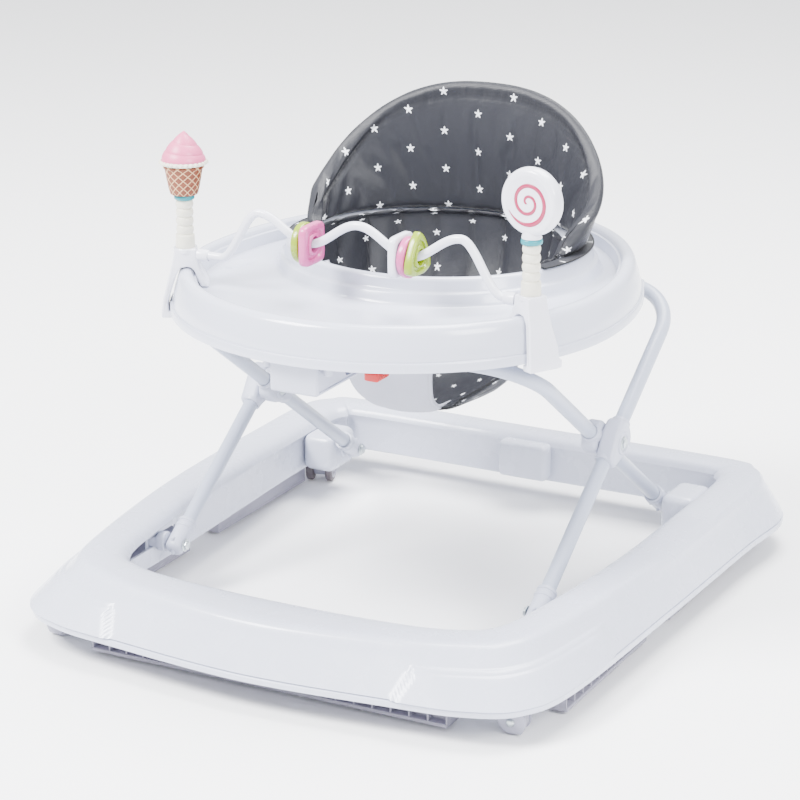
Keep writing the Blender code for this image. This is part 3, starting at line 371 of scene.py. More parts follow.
def boxPiece(name, low, high, bevel=0.002, segments=3):
    deselect()
    low, high = Vector(low), Vector(high)
    bpy.ops.mesh.primitive_cube_add(size=1, location=(low + high) / 2, scale=high - low)
    piece = bpy.context.object
    piece.name = name
    bpy.ops.object.transform_apply(location=True, rotation=True, scale=True)
    applyModifier(piece, "BEVEL", width=bevel, segments=segments)
    return piece


def cut(piece, tool, operation="DIFFERENCE"):
    applyModifier(piece, "BOOLEAN", object=tool, operation=operation, solver="EXACT")
    bpy.data.objects.remove(tool)


def join(name, *parts):
    activate(parts[0])
    for part in parts[1:]:
        part.select_set(True)
    bpy.ops.object.join()
    bpy.context.object.name = name
    return bpy.context.object


def camelName(node):
    first, *others = node.split("_")
    return first + "".join(word.capitalize() for word in others)


def smooth(low, high, value):
    t = min(max((value - low) / (high - low), 0.0), 1.0)
    return t * t * (3 - 2 * t)


def curveLoop(right, steps=8):
    # a closed plan curve through the right-hand points, mirrored about x = 0
    points = [Vector(p) for p in right + [(-x, y) for x, y in right[-2:0:-1]]]
    loop = []
    for i, here in enumerate(points):
        before, after, beyond = points[i - 1], points[(i + 1) % len(points)], points[(i + 2) % len(points)]
        for k in range(steps):
            t = k / steps
            loop.append(0.5 * (2 * here + (after - before) * t
                               + (2 * before - 5 * here + 4 * after - beyond) * t ** 2
                               + (3 * here - before - 3 * after + beyond) * t ** 3))
    return loop


def offsetLoop(loop, distance):
    moved = []
    for i, point in enumerate(loop):
        along = (loop[(i + 1) % len(loop)] - loop[i - 1]).normalized()
        moved.append(point + distance * Vector((along.y, -along.x)))
    return moved


def mixLoop(one, other, share):
    return [a.lerp(b, share) for a, b in zip(one, other)]


baseLow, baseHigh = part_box("base_shell")
baseShell = {
    "halfWidth": 0.318, "front": -baseLow.y, "rear": 0.361, "top": baseHigh.z, "bottom": baseLow.z,
    "railHalf": 0.241, "wall": 0.003, "panelFrom": 0.156, "panelLean": 0.42, "panelTo": -0.145,
    "panelTop": 0.0675, "panelStep": 0.0050,
}


def makeBase():
    b = baseShell
    w, f, r, g, t = b["halfWidth"], b["front"], b["rear"], b["railHalf"], b["wall"]
    lip = curveLoop([
        (0, -f), (w * 0.5, -f + 0.0135), (w * 0.73, -f + 0.025), (w * 0.885, -f + 0.054),
        (w * 0.958, -f + 0.128), (w * 0.985, -0.011), (w, r * 0.54), (w * 1.015, r - 0.070),
        (w * 0.94, r - 0.018), (w * 0.78, r), (0, r),
    ], 16)
    top = curveLoop([
        (0, -f + 0.027), (w * 0.42, -f + 0.045), (w * 0.62, -f + 0.062),
        (w * 0.782, -f + 0.094), (w * 0.855, -f + 0.172), (w - 0.024, -0.011),
        (w - 0.0192, r * 0.54), (w - 0.0216, r - 0.073), (w * 0.875, r - 0.037),
        (w * 0.74, r - 0.020), (0, r - 0.020),
    ], 16)
    s = w - 0.074
    inner = curveLoop([
        (0, -f + 0.096), (s * 0.49, -f + 0.0995), (s * 0.75, -f + 0.112), (s * 0.873, -f + 0.136),
        (s * 0.934, -f + 0.197), (s, -0.011), (s + 0.004, r * 0.45), (s + 0.004, r - 0.096),
        (s - 0.005, r - 0.066), (s - 0.030, r - 0.056), (0, r - 0.056),
    ], 16)
    rail = curveLoop([
        (0, -f + 0.095), (g * 0.50, -f + 0.0985), (g * 0.81, -f + 0.108), (g * 0.963, -f + 0.124),
        (g * 0.992, -f + 0.157), (g + 0.001, -0.055), (g + 0.010, r * 0.45), (g + 0.010, r - 0.091),
        (g + 0.001, r - 0.063), (g - 0.025, r - 0.053), (0, r - 0.053),
    ], 16)
    z0, z1 = b["bottom"], b["top"]
    # more points where a panel ends, so that its edge is crisp
    close = []
    for i, point in enumerate(lip):
        near = abs(abs(point.x) - b["panelFrom"] - 0.014) < 0.022 and point.y < -0.2
        near = near or abs(point.y - b["panelTo"] + 0.003) < 0.010
        close += [i + q / 6 for q in range(6)] if near else [i]

    def finer(loop):
        ends = loop + loop[:1]
        return [ends[int(t)].lerp(ends[int(t) + 1], t - int(t)) for t in close]

    lip, top, inner, rail = (finer(loop) for loop in (lip, top, inner, rail))

    def skirt(share, z):
        # the sloping skirt, with a raised panel round each front corner
        ring = []
        for a, c in zip(lip, top):
            p = a.lerp(c, share)
            inward = min(abs(p.x) - b["panelFrom"] - b["panelLean"] * (z - z0), b["panelTo"] - p.y,
                         b["panelTop"] - z)
            raised = 0.62 * smooth(0.0, 0.0014, inward) + 0.38 * smooth(0.0042, 0.0056, inward)
            out = Vector((a.x - c.x, a.y - c.y)).normalized()
            p = p + b["panelStep"] * raised * out
            ring.append(Vector((p.x, p.y, z)))
        return ring

    def level(loop, z):
        return [Vector((p.x, p.y, z)) for p in loop]

    rings = [level(lip, z0), level(lip, z0 + 0.0008), level(lip, z0 + 0.0052),
             level(offsetLoop(lip, -0.0006), z0 + 0.006)]
    rings += [level(mixLoop(offsetLoop(lip, -0.0032), top, 0.02), z0 + 0.0066)]
    rise = z1 - 0.009 - (z0 + 0.0075)
    edge = (b["panelTop"] - z0 - 0.0075) / rise
    shares = [k * (edge - 0.16) / 7 for k in range(8)]
    shares += [edge - e for e in (0.135, 0.118, 0.1, 0.085, 0.032, 0.015, -0.002, -0.02)] + [1]
    for share in shares:
        rings.append(skirt(0.04 + 0.84 * share, z0 + 0.0075 + rise * share))
    rings += [
        level(mixLoop(lip, top, 0.95), z1 - 0.0045), level(mixLoop(top, inner, 0.03), z1 - 0.0014),
        level(mixLoop(top, inner, 0.12), z1 - 0.0002), level(mixLoop(top, inner, 0.22), z1),
        level(mixLoop(top, inner, 0.45), z1 + 0.0002), level(mixLoop(top, inner, 0.66), z1 - 0.0001),
        level(mixLoop(top, inner, 0.78), z1 - 0.0012), level(mixLoop(top, inner, 0.88), z1 - 0.0034),
        level(mixLoop(top, inner, 0.95), z1 - 0.0065), level(inner, z1 - 0.0108),
        level(mixLoop(inner, rail, 0.5), z1 - 0.0140), level(rail, z1 - 0.018), level(rail, z1 - 0.022),
        level(rail, z1 - 0.030), level(rail, z0 + 0.006), level(offsetLoop(rail, -0.0008), z0 + 0.004),
        level(offsetLoop(rail, -0.0008), z0 + 0.001), level(rail, z0),
        level(offsetLoop(rail, t), z0), level(offsetLoop(rail, t), z1 - 0.022),
        level(mixLoop(top, inner, 0.8), z1 - 0.0075), level(mixLoop(top, inner, 0.25), z1 - t),
        level(offsetLoop(mixLoop(lip, top, 0.88), -t), z1 - 0.009 - t),
        level(offsetLoop(lip, -0.004 - t), z0 + 0.009), level(offsetLoop(lip, -t), z0 + 0.004),
        level(offsetLoop(lip, -t), z0),
    ]
    rings.append(rings[0])
    shell = ringPiece("baseShellSkin", rings)
    for side, name in ((-1, "left"), (1, "right")):
        low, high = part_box(f"{name}_slide_foot")
        middle, half = (low.z + high.z) / 2, 0.0062
        xs = sorted((side * (g - 0.012), side * (g + 0.006)))
        slot = boxPiece("slotTool", (xs[0], -0.2155, middle - half), (xs[1], -0.0925, middle + half), 0.003)
        cut(shell, slot)
    finishPiece(shell, "base", "basePolypropylene", ["base_shell"], angle=32)

    # the moulded block on the rear rail
    back = r - 0.053
    block = boxPiece("rearRailBlock", (-0.031, back - 0.021, z0 + 0.004),
                     (0.031, back + 0.0006, z1 - 0.006), 0.006, 5)
    finishPiece(block, "base", "basePolypropylene")
    for side, name in ((-1, "left"), (1, "right")):
        low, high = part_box(f"{name}_corner_block")
        corner = boxPiece(f"{name}CornerBlock", low, high, 0.010, 6)
        face = low.x if side > 0 else high.x
        mid = Vector((face, (low.y + high.y) / 2 + 0.004, 0.058))
        collar = turnedPiece("collar", [(-0.002, 0.0), (-0.002, 0.0125), (0.0, 0.0135), (0.0004, 0.0125),
                                        (0.0004, 0.0)],
                             mid, (side, 0, 0), 40)
        corner = join(f"{name}CornerBlock", corner, collar)
        finishPiece(corner, "base", "basePolypropylene", [f"{name}_corner_block"])


def makeBrakePads():
    # each pad is a rib under a thin plate, with a wide foot and small gussets, open to the outside
    for node in ("front_brake_pad", "left_front_brake_pad", "left_rear_brake_pad", "right_front_brake_pad",
                 "right_rear_brake_pad"):
        low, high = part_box(node)
        front = node.startswith("front")
        plate, foot = 0.0305, low.z
        if front:
            start, end, middle, outward = low.x, high.x, (low.y + high.y) / 2, -1
        else:
            start, end, outward = low.y, high.y, 1 if low.x > 0 else -1
            middle = outward * 0.2785

        def bar(name, along, across, heights, bevel, segments):
            # a box given by its reach along the pad and its reach outward from the pad's middle
            out = sorted(middle + outward * a for a in across)
            if front:
                return boxPiece(name, (along[0], out[0], heights[0]), (along[1], out[1], heights[1]), bevel,
                                segments)
            return boxPiece(name, (out[0], along[0], heights[0]), (out[1], along[1], heights[1]), bevel,
                            segments)

        reach = 0.0285 if front else 0.0160
        parts = [bar("plate", (start, end), (-reach, reach), (plate - 0.0035, plate), 0.0008, 2)]
        parts.append(bar("foot", (start + 0.001, end - 0.001), (-0.0132, 0.0138), (foot, foot + 0.0042),
                         0.0012, 3))
        parts.append(bar("web", (start + 0.001, end - 0.001), (-0.0128, 0.0045),
                         (foot + 0.002, plate - 0.002), 0.001, 2))
        count = round((end - start) / 0.0205)
        for k in range(count + 1):
            spot = start + 0.0022 + (end - start - 0.0044) * k / count
            parts.append(bar("gusset", (spot - 0.0010, spot + 0.0010), (0.004, 0.0128),
                             (foot + 0.003, plate - 0.003), 0.0004, 1))
        pad = join(camelName(node), *parts)
        finishPiece(pad, "base", "softPadCompound", [node])


caster = {"trail": 0.018, "frontTurn": math.radians(97), "rearTurn": math.radians(16),
          "frontStem": (0.243, -0.285), "rearStem": (0.262, 0.280)}


def makeCasters():
    for name, side in (("left", -1), ("right", 1)):
        # front: a hooded single wheel
        x, y = side * caster["frontStem"][0], caster["frontStem"][1]
        turn = caster["frontTurn"]
        trail = Vector((side * math.sin(turn), -math.cos(turn), 0))
        axle = Vector((trail.y, -trail.x, 0))
        radius = 0.014
        hub = Vector((x, y, radius)) + caster["trail"] * trail
        body = f"front_{name}_caster"
        half, hood, ceiling = 0.0084, 0.0107, 0.0303
        arc = [math.radians(-46 + 122 * k / 14) for k in range(15)]
        outline = [((radius + 0.0014) * math.cos(a), radius + (radius + 0.0014) * math.sin(a)) for a in arc]
        outline = [(u, min(z, ceiling)) for u, z in outline]
        heel = -caster["trail"] - 0.008
        outline = [(-0.004, 0.0036)] + outline + [(heel, ceiling), (heel, ceiling - 0.005), (-0.011, 0.012)]
        sides = []
        for start, end in ((-hood, -half), (half, hood)):
            points = [Vector((hub.x, hub.y, 0)) + u * trail + start * axle + Vector((0, 0, z))
                      for u, z in outline]
            sides.append(outlinePiece("cheek", points, (end - start) * axle, 0.0007, 2))
        toe = radius * 0.2
        bridge = [(heel, ceiling - 0.0012), (toe, ceiling - 0.0012), (toe, ceiling), (heel, ceiling)]
        points = [Vector((hub.x, hub.y, 0)) + u * trail - half * axle + Vector((0, 0, z)) for u, z in bridge]
        sides.append(outlinePiece("crown", points, 2 * half * axle, 0.0003, 1))
        sides.append(turnedPiece("stem", [(0.0, 0.0), (0.0, 0.004), (0.0130, 0.004), (0.0138, 0.003),
                                          (0.0138, 0.0)],
                                 (x, y, ceiling - 0.002), (0, 0, 1), 32))
        fork = join(f"front{name.capitalize()}Hood", *sides)
        finishPiece(fork, body, "casterNylon", [f"front_{name}_caster_fork"])
        rivet = [(-0.0131, 0.0), (-0.0129, 0.0018), (-0.0124, 0.0034), (-0.0114, 0.0044), (-0.0109, 0.0045),
                 (-0.0109, 0.0024), (0.0109, 0.0024), (0.0109, 0.0045), (0.0114, 0.0044), (0.0124, 0.0034),
                 (0.0129, 0.0018), (0.0131, 0.0)]
        pin = turnedPiece(f"front{name.capitalize()}Rivet", rivet, hub, axle, 36)
        finishPiece(pin, body, "zincPlatedSteel", [f"front_{name}_caster_axle"])
        w = 0.0074
        wheel = [(-w, 0.0026), (-w, 0.0055), (-w + 0.001, 0.0062), (-w + 0.001, 0.0100), (-w, 0.0107),
                 (-w, 0.0122), (-w + 0.0006, 0.0134), (-w + 0.002, 0.0139), (-0.0012, radius),
                 (-0.0006, 0.01365), (0.0006, 0.01365), (0.0012, radius), (w - 0.002, 0.0139),
                 (w - 0.0006, 0.0134), (w, 0.0122), (w, 0.0107), (w - 0.001, 0.0100), (w - 0.001, 0.0062),
                 (w, 0.0055), (w, 0.0026), (-w, 0.0026)]
        roller = turnedPiece(f"front{name.capitalize()}Roller", wheel, hub, axle, 64)
        finishPiece(roller, f"front_{name}_wheel", "casterNylon",
                    [f"front_{name}_caster_wheel"])

        # rear: a pair of discs on one axle
        x, y = side * caster["rearStem"][0], caster["rearStem"][1]
        turn = caster["rearTurn"]
        trail = Vector((math.sin(turn), -math.cos(turn), 0))
        axle = Vector((trail.y, -trail.x, 0))
        radius = 0.0155
        hub = Vector((x, y, radius)) + caster["trail"] * trail
        rim = 0.0085
        arc = [math.radians(-90 + 180 * k / 12) for k in range(13)]
        outline = [(rim * math.cos(a), radius + rim * math.sin(a)) for a in arc]
        outline += [(-0.004, ceiling), (-caster["trail"] - 0.0075, ceiling),
                    (-caster["trail"] - 0.0075, ceiling - 0.006)]
        points = [Vector((hub.x, hub.y, 0)) + u * trail - 0.0073 * axle + Vector((0, 0, z))
                  for u, z in outline]
        core = outlinePiece("core", points, 0.0146 * axle, 0.0012, 3)
        stem = turnedPiece("stem", [(0.0, 0.0), (0.0, 0.004), (0.0195, 0.004), (0.0205, 0.003),
                                    (0.0205, 0.0)],
                           (x, y, ceiling - 0.002), (0, 0, 1), 32)
        fork = join(f"rear{name.capitalize()}Fork", core, stem)
        finishPiece(fork, f"rear_{name}_caster", "casterNylon", [f"rear_{name}_caster_fork"])
        discs, faces = [], []
        for sign in (-1, 1):
            near, far = sign * 0.0081, sign * 0.0168
            tread = [(near, 0.0), (near, radius - 0.0012), (near + sign * 0.0012, radius),
                     (far - sign * 0.0022, radius), (far - sign * 0.0006, radius - 0.0016),
                     (far - sign * 0.0008, radius - 0.0045), (far - sign * 0.0008, 0.0)]
            discs.append(turnedPiece("tread", tread, hub, axle, 64))
            face = [(far - sign * 0.0012, 0.0112), (far - sign * 0.0002, 0.0110), (far, 0.0098),
                    (far - sign * 0.0008, 0.0086), (far - sign * 0.0008, 0.0042),
                    (far + sign * 0.0001, 0.0034), (far + sign * 0.0001, 0.0)]
            faces.append(turnedPiece("face", face, hub, axle, 64))
        discs.append(turnedPiece("shaft", [(-0.0085, 0.0), (-0.0085, 0.0025), (0.0085, 0.0025),
                                           (0.0085, 0.0)], hub, axle, 24))
        tread = join(f"rear{name.capitalize()}Treads", *discs)
        finishPiece(tread, f"rear_{name}_wheels", "tyreRubber", [f"rear_{name}_twin_wheel"])
        face = join(f"rear{name.capitalize()}WheelFaces", *faces)
        finishPiece(face, f"rear_{name}_wheels", "casterNylon")


scissor = {
    "hub": Vector((0, 0.05269, 0.18705)), "angle": math.radians(35), "lower": 0.225, "upper": 0.212,
    "outerX": 0.215, "innerX": 0.198, "radius": 0.008, "bend": 0.058,
}


def arm(direction):
    return Vector((0, direction * math.cos(scissor["angle"]), math.sin(scissor["angle"])))


def makeTube(name, body, direction, legX, node):
    s = scissor
    up = arm(direction)
    plan = [(legX, -s["lower"] + 0.008 + 0.001), (legX, -0.05), (legX, 0.0),
            (legX, s["upper"] - s["bend"] - 0.002)]
    for k in range(17):
        a = math.radians(90 * k / 16)
        plan.append((legX - s["bend"] * (1 - math.cos(a)), s["upper"] - s["bend"] * (1 - math.sin(a))))
    plan += [(-x, d) for x, d in plan[::-1]]
    points = [s["hub"] + Vector((x, 0, 0)) + d * up for x, d in plan]
    tube = tubePiece(f"{name}Tube", points, s["radius"], resolution=7)
    finishPiece(tube, body, "powderCoatedSteel", [node], angle=50)


def hexBolt(name, at, axis, radius, depth, body, node=None, shank=0.0):
    # a six-sided head over a washer, standing on a face
    axis = Vector(axis).normalized()
    side = Vector((0, 0, 1))
    u, v = side, axis.cross(side)
    turns = [math.radians(60 * k + 12) for k in range(6)]
    points = [Vector(at) + radius * (math.cos(a) * u + math.sin(a) * v) for a in turns]
    head = outlinePiece(name, points, depth * axis, 0.0006, 2)
    washer = turnedPiece("washer", [(-0.0004, 0.0), (-0.0004, radius * 1.25), (0.0005, radius * 1.3),
                                    (0.0009, radius * 1.2), (0.0009, 0.0)], at, axis, 40)
    parts = [head, washer]
    if shank:
        parts.append(turnedPiece("shank", [(-shank, 0.0), (-shank, 0.0027), (0.0, 0.0027), (0.0, 0.0)], at,
                                 axis, 24))
    bolt = join(name, *parts)
    finishPiece(bolt, body, "zincPlatedSteel", [node] if node else ())


def makeFrame():
    s = scissor
    makeTube("outerFrame", "outer_frame", 1, s["outerX"], "outer_frame_tube")
    makeTube("innerFrame", "inner_frame", -1, s["innerX"], "inner_frame_tube")
    for name, side in (("left", -1), ("right", 1)):
        for place, body, direction, legX in (("front", "outer_frame", 1, s["outerX"]),
                                             ("rear", "inner_frame", -1, s["innerX"])):
            up = arm(direction)
            foot = s["hub"] + Vector((side * legX, 0, 0)) - s["lower"] * up
            profile = [(-0.0105, 0.0), (-0.0103, 0.0055), (-0.0088, 0.0088), (-0.0062, 0.0104),
                       (0.0, 0.0105), (0.0185, 0.0104), (0.0190, 0.0110), (0.0205, 0.0113),
                       (0.0222, 0.0110), (0.0228, 0.0103), (0.0262, 0.0102), (0.0266, 0.0108),
                       (0.0284, 0.0110), (0.0298, 0.0106), (0.0300, 0.0098), (0.0298, 0.0084),
                       (0.0200, 0.0083), (0.0200, 0.0)]
            cup = turnedPiece(f"{name}{place.capitalize()}Socket", profile, foot, up, 48)
            thick = Vector((0.0016, 0.0098, 0.0098))
            rib = boxPiece("rib", foot - thick, foot + thick, 0.001, 2)
            cup = join(f"{name}{place.capitalize()}Socket", cup, rib)
            finishPiece(cup, body, "satinNylon", [f"{name}_{place}_cup"])
        # the shoe that slides along the rail, with its neck through the slot
        low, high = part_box(f"{name}_slide_foot")
        at = Vector((0, (low.y + high.y) / 2, (low.z + high.z) / 2))
        near, wall = 0.2262, 0.2365
        disc = turnedPiece("disc", [(near, 0.0), (near, 0.0085), (near + 0.0008, 0.0105),
                                    (near + 0.0022, 0.0110), (wall - 0.001, 0.0110), (wall, 0.0104),
                                    (wall, 0.0)], at, (side, 0, 0), 48)
        xs = sorted((side * (wall - 0.002), side * 0.2462))
        neck = boxPiece("neck", (xs[0], at.y - 0.0098, at.z - 0.0049),
                        (xs[1], at.y + 0.0098, at.z + 0.0049), 0.0015, 3)
        xs = sorted((side * 0.2456, side * 0.2484))
        head = boxPiece("head", (xs[0], at.y - 0.0128, at.z - 0.0088),
                        (xs[1], at.y + 0.0128, at.z + 0.0088), 0.0012, 2)
        shoe = join(f"{name}RailShoe", disc, neck, head)
        finishPiece(shoe, f"{name}_foot", "satinNylon", [f"{name}_slide_foot"])
        hexBolt(f"{name}FrontPivotBolt", (side * (s["outerX"] - 0.0109), at.y, at.z), (-side, 0, 0), 0.0054,
                0.0034,
                f"{name}_foot", f"{name}_front_bolt")
        rear = s["hub"] - s["lower"] * arm(-1)
        hexBolt(f"{name}RearPivotBolt", (side * (s["innerX"] - 0.0109), rear.y, rear.z), (-side, 0, 0),
                0.0054, 0.0034, "base", f"{name}_rear_bolt")
        makeHub(name, side)


def makeHub(name, side):
    # two shells, one on each tube, with a bolt through both
    s = scissor
    hub = s["hub"]
    middle = (s["outerX"] + s["innerX"]) / 2

    def shield(width, height, point):
        # a rounded top over sides that run down to a blunt point
        shape = []
        for k in range(13):
            a = math.radians(180 * k / 12)
            shape.append((width * math.cos(a), height * 0.42 + width * 0.62 * math.sin(a)))
        shape += [(-width * 0.98, -height * 0.05), (-width * 0.62, -height * 0.62), (-point, -height),
                  (point, -height), (width * 0.62, -height * 0.62), (width * 0.98, -height * 0.05)]
        return shape

    for part, body, legX, start, end, up, scale in (
        ("outer", "outer_frame", s["outerX"], middle + 0.0003, middle + 0.0205, arm(1), 1.0),
        ("inner", "inner_frame", s["innerX"], middle - 0.0003, middle - 0.0190, arm(-1), 0.94),
    ):
        sideways = up.cross(Vector((1, 0, 0)))
        points = []
        for u, v in shield(0.0190 * scale, 0.0300 * scale, 0.008):
            spot = hub + u * sideways + v * up
            points.append(Vector((side * start, spot.y, spot.z)))
        shell = outlinePiece(f"{name}Hub{part.capitalize()}", points, (side * (end - start), 0, 0), 0.0046, 5)
        sleeve = turnedPiece("sleeve", [(-0.0285, 0.0084), (-0.0285, 0.0098), (-0.0275, 0.0104),
                                        (0.0265, 0.0104), (0.0275, 0.0098), (0.0275, 0.0084),
                                        (-0.0285, 0.0084)], hub + Vector((side * legX, 0, 0)), up, 48)
        outward = side if part == "outer" else -side
        dish = turnedPiece("dish", [(-0.004, 0.0), (-0.004, 0.0128), (0.0006, 0.0126), (0.0016, 0.0118),
                                    (0.0016, 0.0098), (0.0006, 0.0090), (0.0006, 0.0)],
                           (side * end, hub.y, hub.z), (outward, 0, 0), 48)
        shell = join(f"{name}Hub{part.capitalize()}", shell, sleeve, dish)
        finishPiece(shell, body, "satinNylon", [f"{name}_hub_{part}"])
    hexBolt(f"{name}HubBolt", (side * (middle + 0.0212), hub.y, hub.z), (side, 0, 0), 0.0058, 0.0028,
            "inner_frame", f"{name}_hub_bolt")
    hexBolt(f"{name}HubNut", (side * (middle - 0.0198), hub.y, hub.z), (-side, 0, 0), 0.0058, 0.0030,
            "inner_frame")


tray = {
    "z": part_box("tray_shell")[0].z, "rim": 0.044, "floor": 0.024, "ring": 0.052, "centreY": -0.017,
    "radius": 0.243, "rear": 0.312, "openX": 0.155, "openY": 0.146, "openCentre": 0.069, "wall": 0.003,
    "around": 192,
}


def trayPoint(turn, edge, distance):
    if edge == "rim":
        half, middle, move = tray["radius"], tray["centreY"], -distance
        length = tray["radius"] if math.cos(turn) > 0 else tray["rear"]
    else:
        half, middle, length, move = tray["openX"], tray["openCentre"], tray["openY"], distance
    point = Vector((half * math.sin(turn), middle - length * math.cos(turn)))
    outward = Vector((length * math.sin(turn), -half * math.cos(turn))).normalized()
    return point + move * outward


def makeTray():
    z, t = tray["z"], tray["wall"]
    rim, floor, ring = z + tray["rim"], z + tray["floor"], z + tray["ring"]
    rows = [
        ("rim", 0.0006, z), ("rim", 0.0, z + 0.0006), ("rim", 0.0, z + 0.0085), ("rim", 0.0006, z + 0.0095),
        ("rim", 0.0022, z + 0.0099), ("rim", 0.0026, z + 0.0106), ("rim", 0.0024, z + 0.012),
        ("rim", 0.0052, z + 0.024), ("rim", 0.0084, rim - 0.010), ("rim", 0.0098, rim - 0.0055),
        ("rim", 0.0122, rim - 0.0022), ("rim", 0.0155, rim - 0.0005), ("rim", 0.0190, rim),
        ("rim", 0.0220, rim - 0.0008), ("rim", 0.0245, rim - 0.0035), ("rim", 0.0262, rim - 0.0085),
        ("rim", 0.0284, floor + 0.0035), ("rim", 0.0300, floor + 0.0010), ("rim", 0.0325, floor + 0.0001),
        ("floor", 0.25, floor), ("floor", 0.5, floor), ("floor", 0.75, floor),
        ("opening", 0.0245, floor + 0.0001), ("opening", 0.0222, floor + 0.0012),
        ("opening", 0.0206, floor + 0.0045), ("opening", 0.0180, ring - 0.0165),
        ("opening", 0.0168, ring - 0.0150), ("opening", 0.0145, ring - 0.0142),
        ("opening", 0.0130, ring - 0.0120), ("opening", 0.0112, ring - 0.0040),
        ("opening", 0.0098, ring - 0.0014), ("opening", 0.0072, ring - 0.0002), ("opening", 0.0045, ring),
        ("opening", 0.0018, ring - 0.0008), ("opening", 0.0002, ring - 0.0032),
        ("opening", 0.0, floor - 0.002), ("opening", 0.0004, floor - 0.005), ("opening", t, floor - 0.005),
        ("opening", t, ring - 0.006), ("opening", 0.009, ring - 0.0045), ("opening", 0.020, floor - t),
        ("rim", 0.031, floor - t), ("rim", 0.0275, rim - 0.0075), ("rim", 0.0190, rim - t),
        ("rim", 0.0125, rim - 0.0065), ("rim", 0.0055, z + 0.009), ("rim", t, z + 0.0006), ("rim", t, z),
        ("rim", 0.0006, z),
    ]
    turns = [2 * math.pi * k / tray["around"] for k in range(tray["around"])]
    rings = []
    for edge, distance, height in rows:
        if edge == "floor":
            points = [trayPoint(a, "rim", 0.0325).lerp(trayPoint(a, "opening", 0.0245), distance)
                      for a in turns]
        else:
            points = [trayPoint(a, edge, distance) for a in turns]
        rings.append([Vector((p.x, p.y, height)) for p in points])
    shell = ringPiece("traySkin", rings)
    # an oval recess for a small cup beside each toy post
    for side in (-1, 1):
        deselect()
        bpy.ops.mesh.primitive_uv_sphere_add(segments=48, ring_count=24, radius=1,
                                             location=(side * 0.1935, -0.030, floor + 0.0062),
                                             scale=(0.0170, 0.033, 0.0080))
        tool = bpy.context.object
        bpy.ops.object.transform_apply(location=True, rotation=True, scale=True)
        cut(shell, tool)
    finishPiece(shell, "tray", "trayPolypropylene", ["tray_shell"], angle=40)
    # small feet below the rear of the skirt
    for side in (-1, 1):
        spot = trayPoint(math.radians(side * 128), "rim", 0.006)
        tab = boxPiece("leftRearTab" if side < 0 else "rightRearTab",
                       (spot.x - 0.009, spot.y - 0.006, z - 0.005),
                       (spot.x + 0.009, spot.y + 0.006, z + 0.006))
        finishPiece(tab, "tray", "trayPolypropylene")


def makeAdjuster():
    low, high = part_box("adjuster_housing")
    lowPart = boxPiece("adjusterBody", low, high, 0.003, 4)
    slotZ = 0.30865
    slot = boxPiece("slotTool", (low.x - 0.01, -0.190, slotZ - 0.0088),
                    (high.x + 0.01, -0.0897, slotZ + 0.0088), 0.004, 4)
    cut(lowPart, slot)
    parts = [lowPart]
    for side in (-1, 1):
        xs = sorted((side * (high.x - 0.0005), side * (high.x + 0.0012)))
        parts.append(boxPiece("band", (xs[0], low.y + 0.004, slotZ + 0.0100),
                              (xs[1], high.y - 0.004, slotZ + 0.0122), 0.0005, 1))
        parts.append(boxPiece("band", (xs[0], low.y + 0.004, low.z + 0.0025),
                              (xs[1], high.y - 0.004, low.z + 0.0045), 0.0005, 1))
    body = join("adjusterBody", *parts)
    finishPiece(body, "tray", "satinNylon", ["adjuster_housing"])
    # the stepped deck under the tray that the housing hangs from, with its screw bosses
    deck = outlinePiece("adjusterDeck", [Vector((x, y, tray["z"] - 0.0075)) for x, y in
                        ((-0.062, -0.226), (0.062, -0.226), (0.086, -0.175), (0.086, -0.100),
                         (-0.086, -0.100), (-0.086, -0.175))],
                        (0, 0, 0.0275), 0.003, 3)
    parts = [deck]
    for side in (-1, 1):
        for x, y in ((0.034, -0.236), (0.0365, -0.206)):
            parts.append(turnedPiece("screwBoss", [(0.0, 0.0), (0.0, 0.0024), (0.0012, 0.0026),
                                                   (0.0008, 0.0044), (0.0022, 0.0050), (0.024, 0.0054),
                                                   (0.024, 0.0)],
                                     (side * x, y, tray["z"] - 0.0125), (0, 0, 1), 32))
    deck = join("adjusterDeck", *parts)
    finishPiece(deck, "tray", "satinNylon")
    low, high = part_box("release_lever")
    lever = boxPiece("releaseLever", (low.x, low.y, low.z), (high.x, high.y, high.z - 0.003), 0.0028, 4)
    parts = [lever]
    for k in range(5):
        y = low.y + 0.0045 + 0.0042 * k
        parts.append(boxPiece("grip", (high.x - 0.0018, y, low.z + 0.0022),
                              (high.x + 0.0009, y + 0.0018, high.z - 0.0055), 0.0006, 2))
    lever = join("releaseLever", *parts)
    finishPiece(lever, "lever", "redAcetal", ["release_lever"])
    for name, side in (("left", -1), ("right", 1)):
        low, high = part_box(f"{name}_tray_hinge")
        mid = Vector(((low.x + high.x) / 2, 0.22635, slotZ))
        block = boxPiece(f"{name}Saddle", (low.x, low.y, mid.z + 0.002), (high.x, high.y, high.z), 0.002, 3)
        clip = turnedPiece("clip", [(-0.012, 0.0084), (-0.012, 0.0118), (-0.0112, 0.0126), (0.0112, 0.0126),
                                    (0.012, 0.0118), (0.012, 0.0084), (-0.012, 0.0084)],
                           mid, (1, 0, 0), 48)
        bore = turnedPiece("bore", [(-0.02, 0.0), (-0.02, 0.0084), (0.02, 0.0084), (0.02, 0.0)], mid,
                           (1, 0, 0), 48)
        cut(block, bore)
        saddle = join(f"{name}Saddle", block, clip)
        finishPiece(saddle, "tray", "satinNylon", [f"{name}_tray_hinge"])


toys = {"postX": 0.199, "postY": -0.124, "baseZ": 0.390, "stemTop": 0.4415, "barRadius": 0.0045,
        "barEnd": 0.384, "barPeak": 0.437, "barLow": 0.4115, "wave": 0.1155, "waveCentre": 0.0065,
        "fall": 0.047}


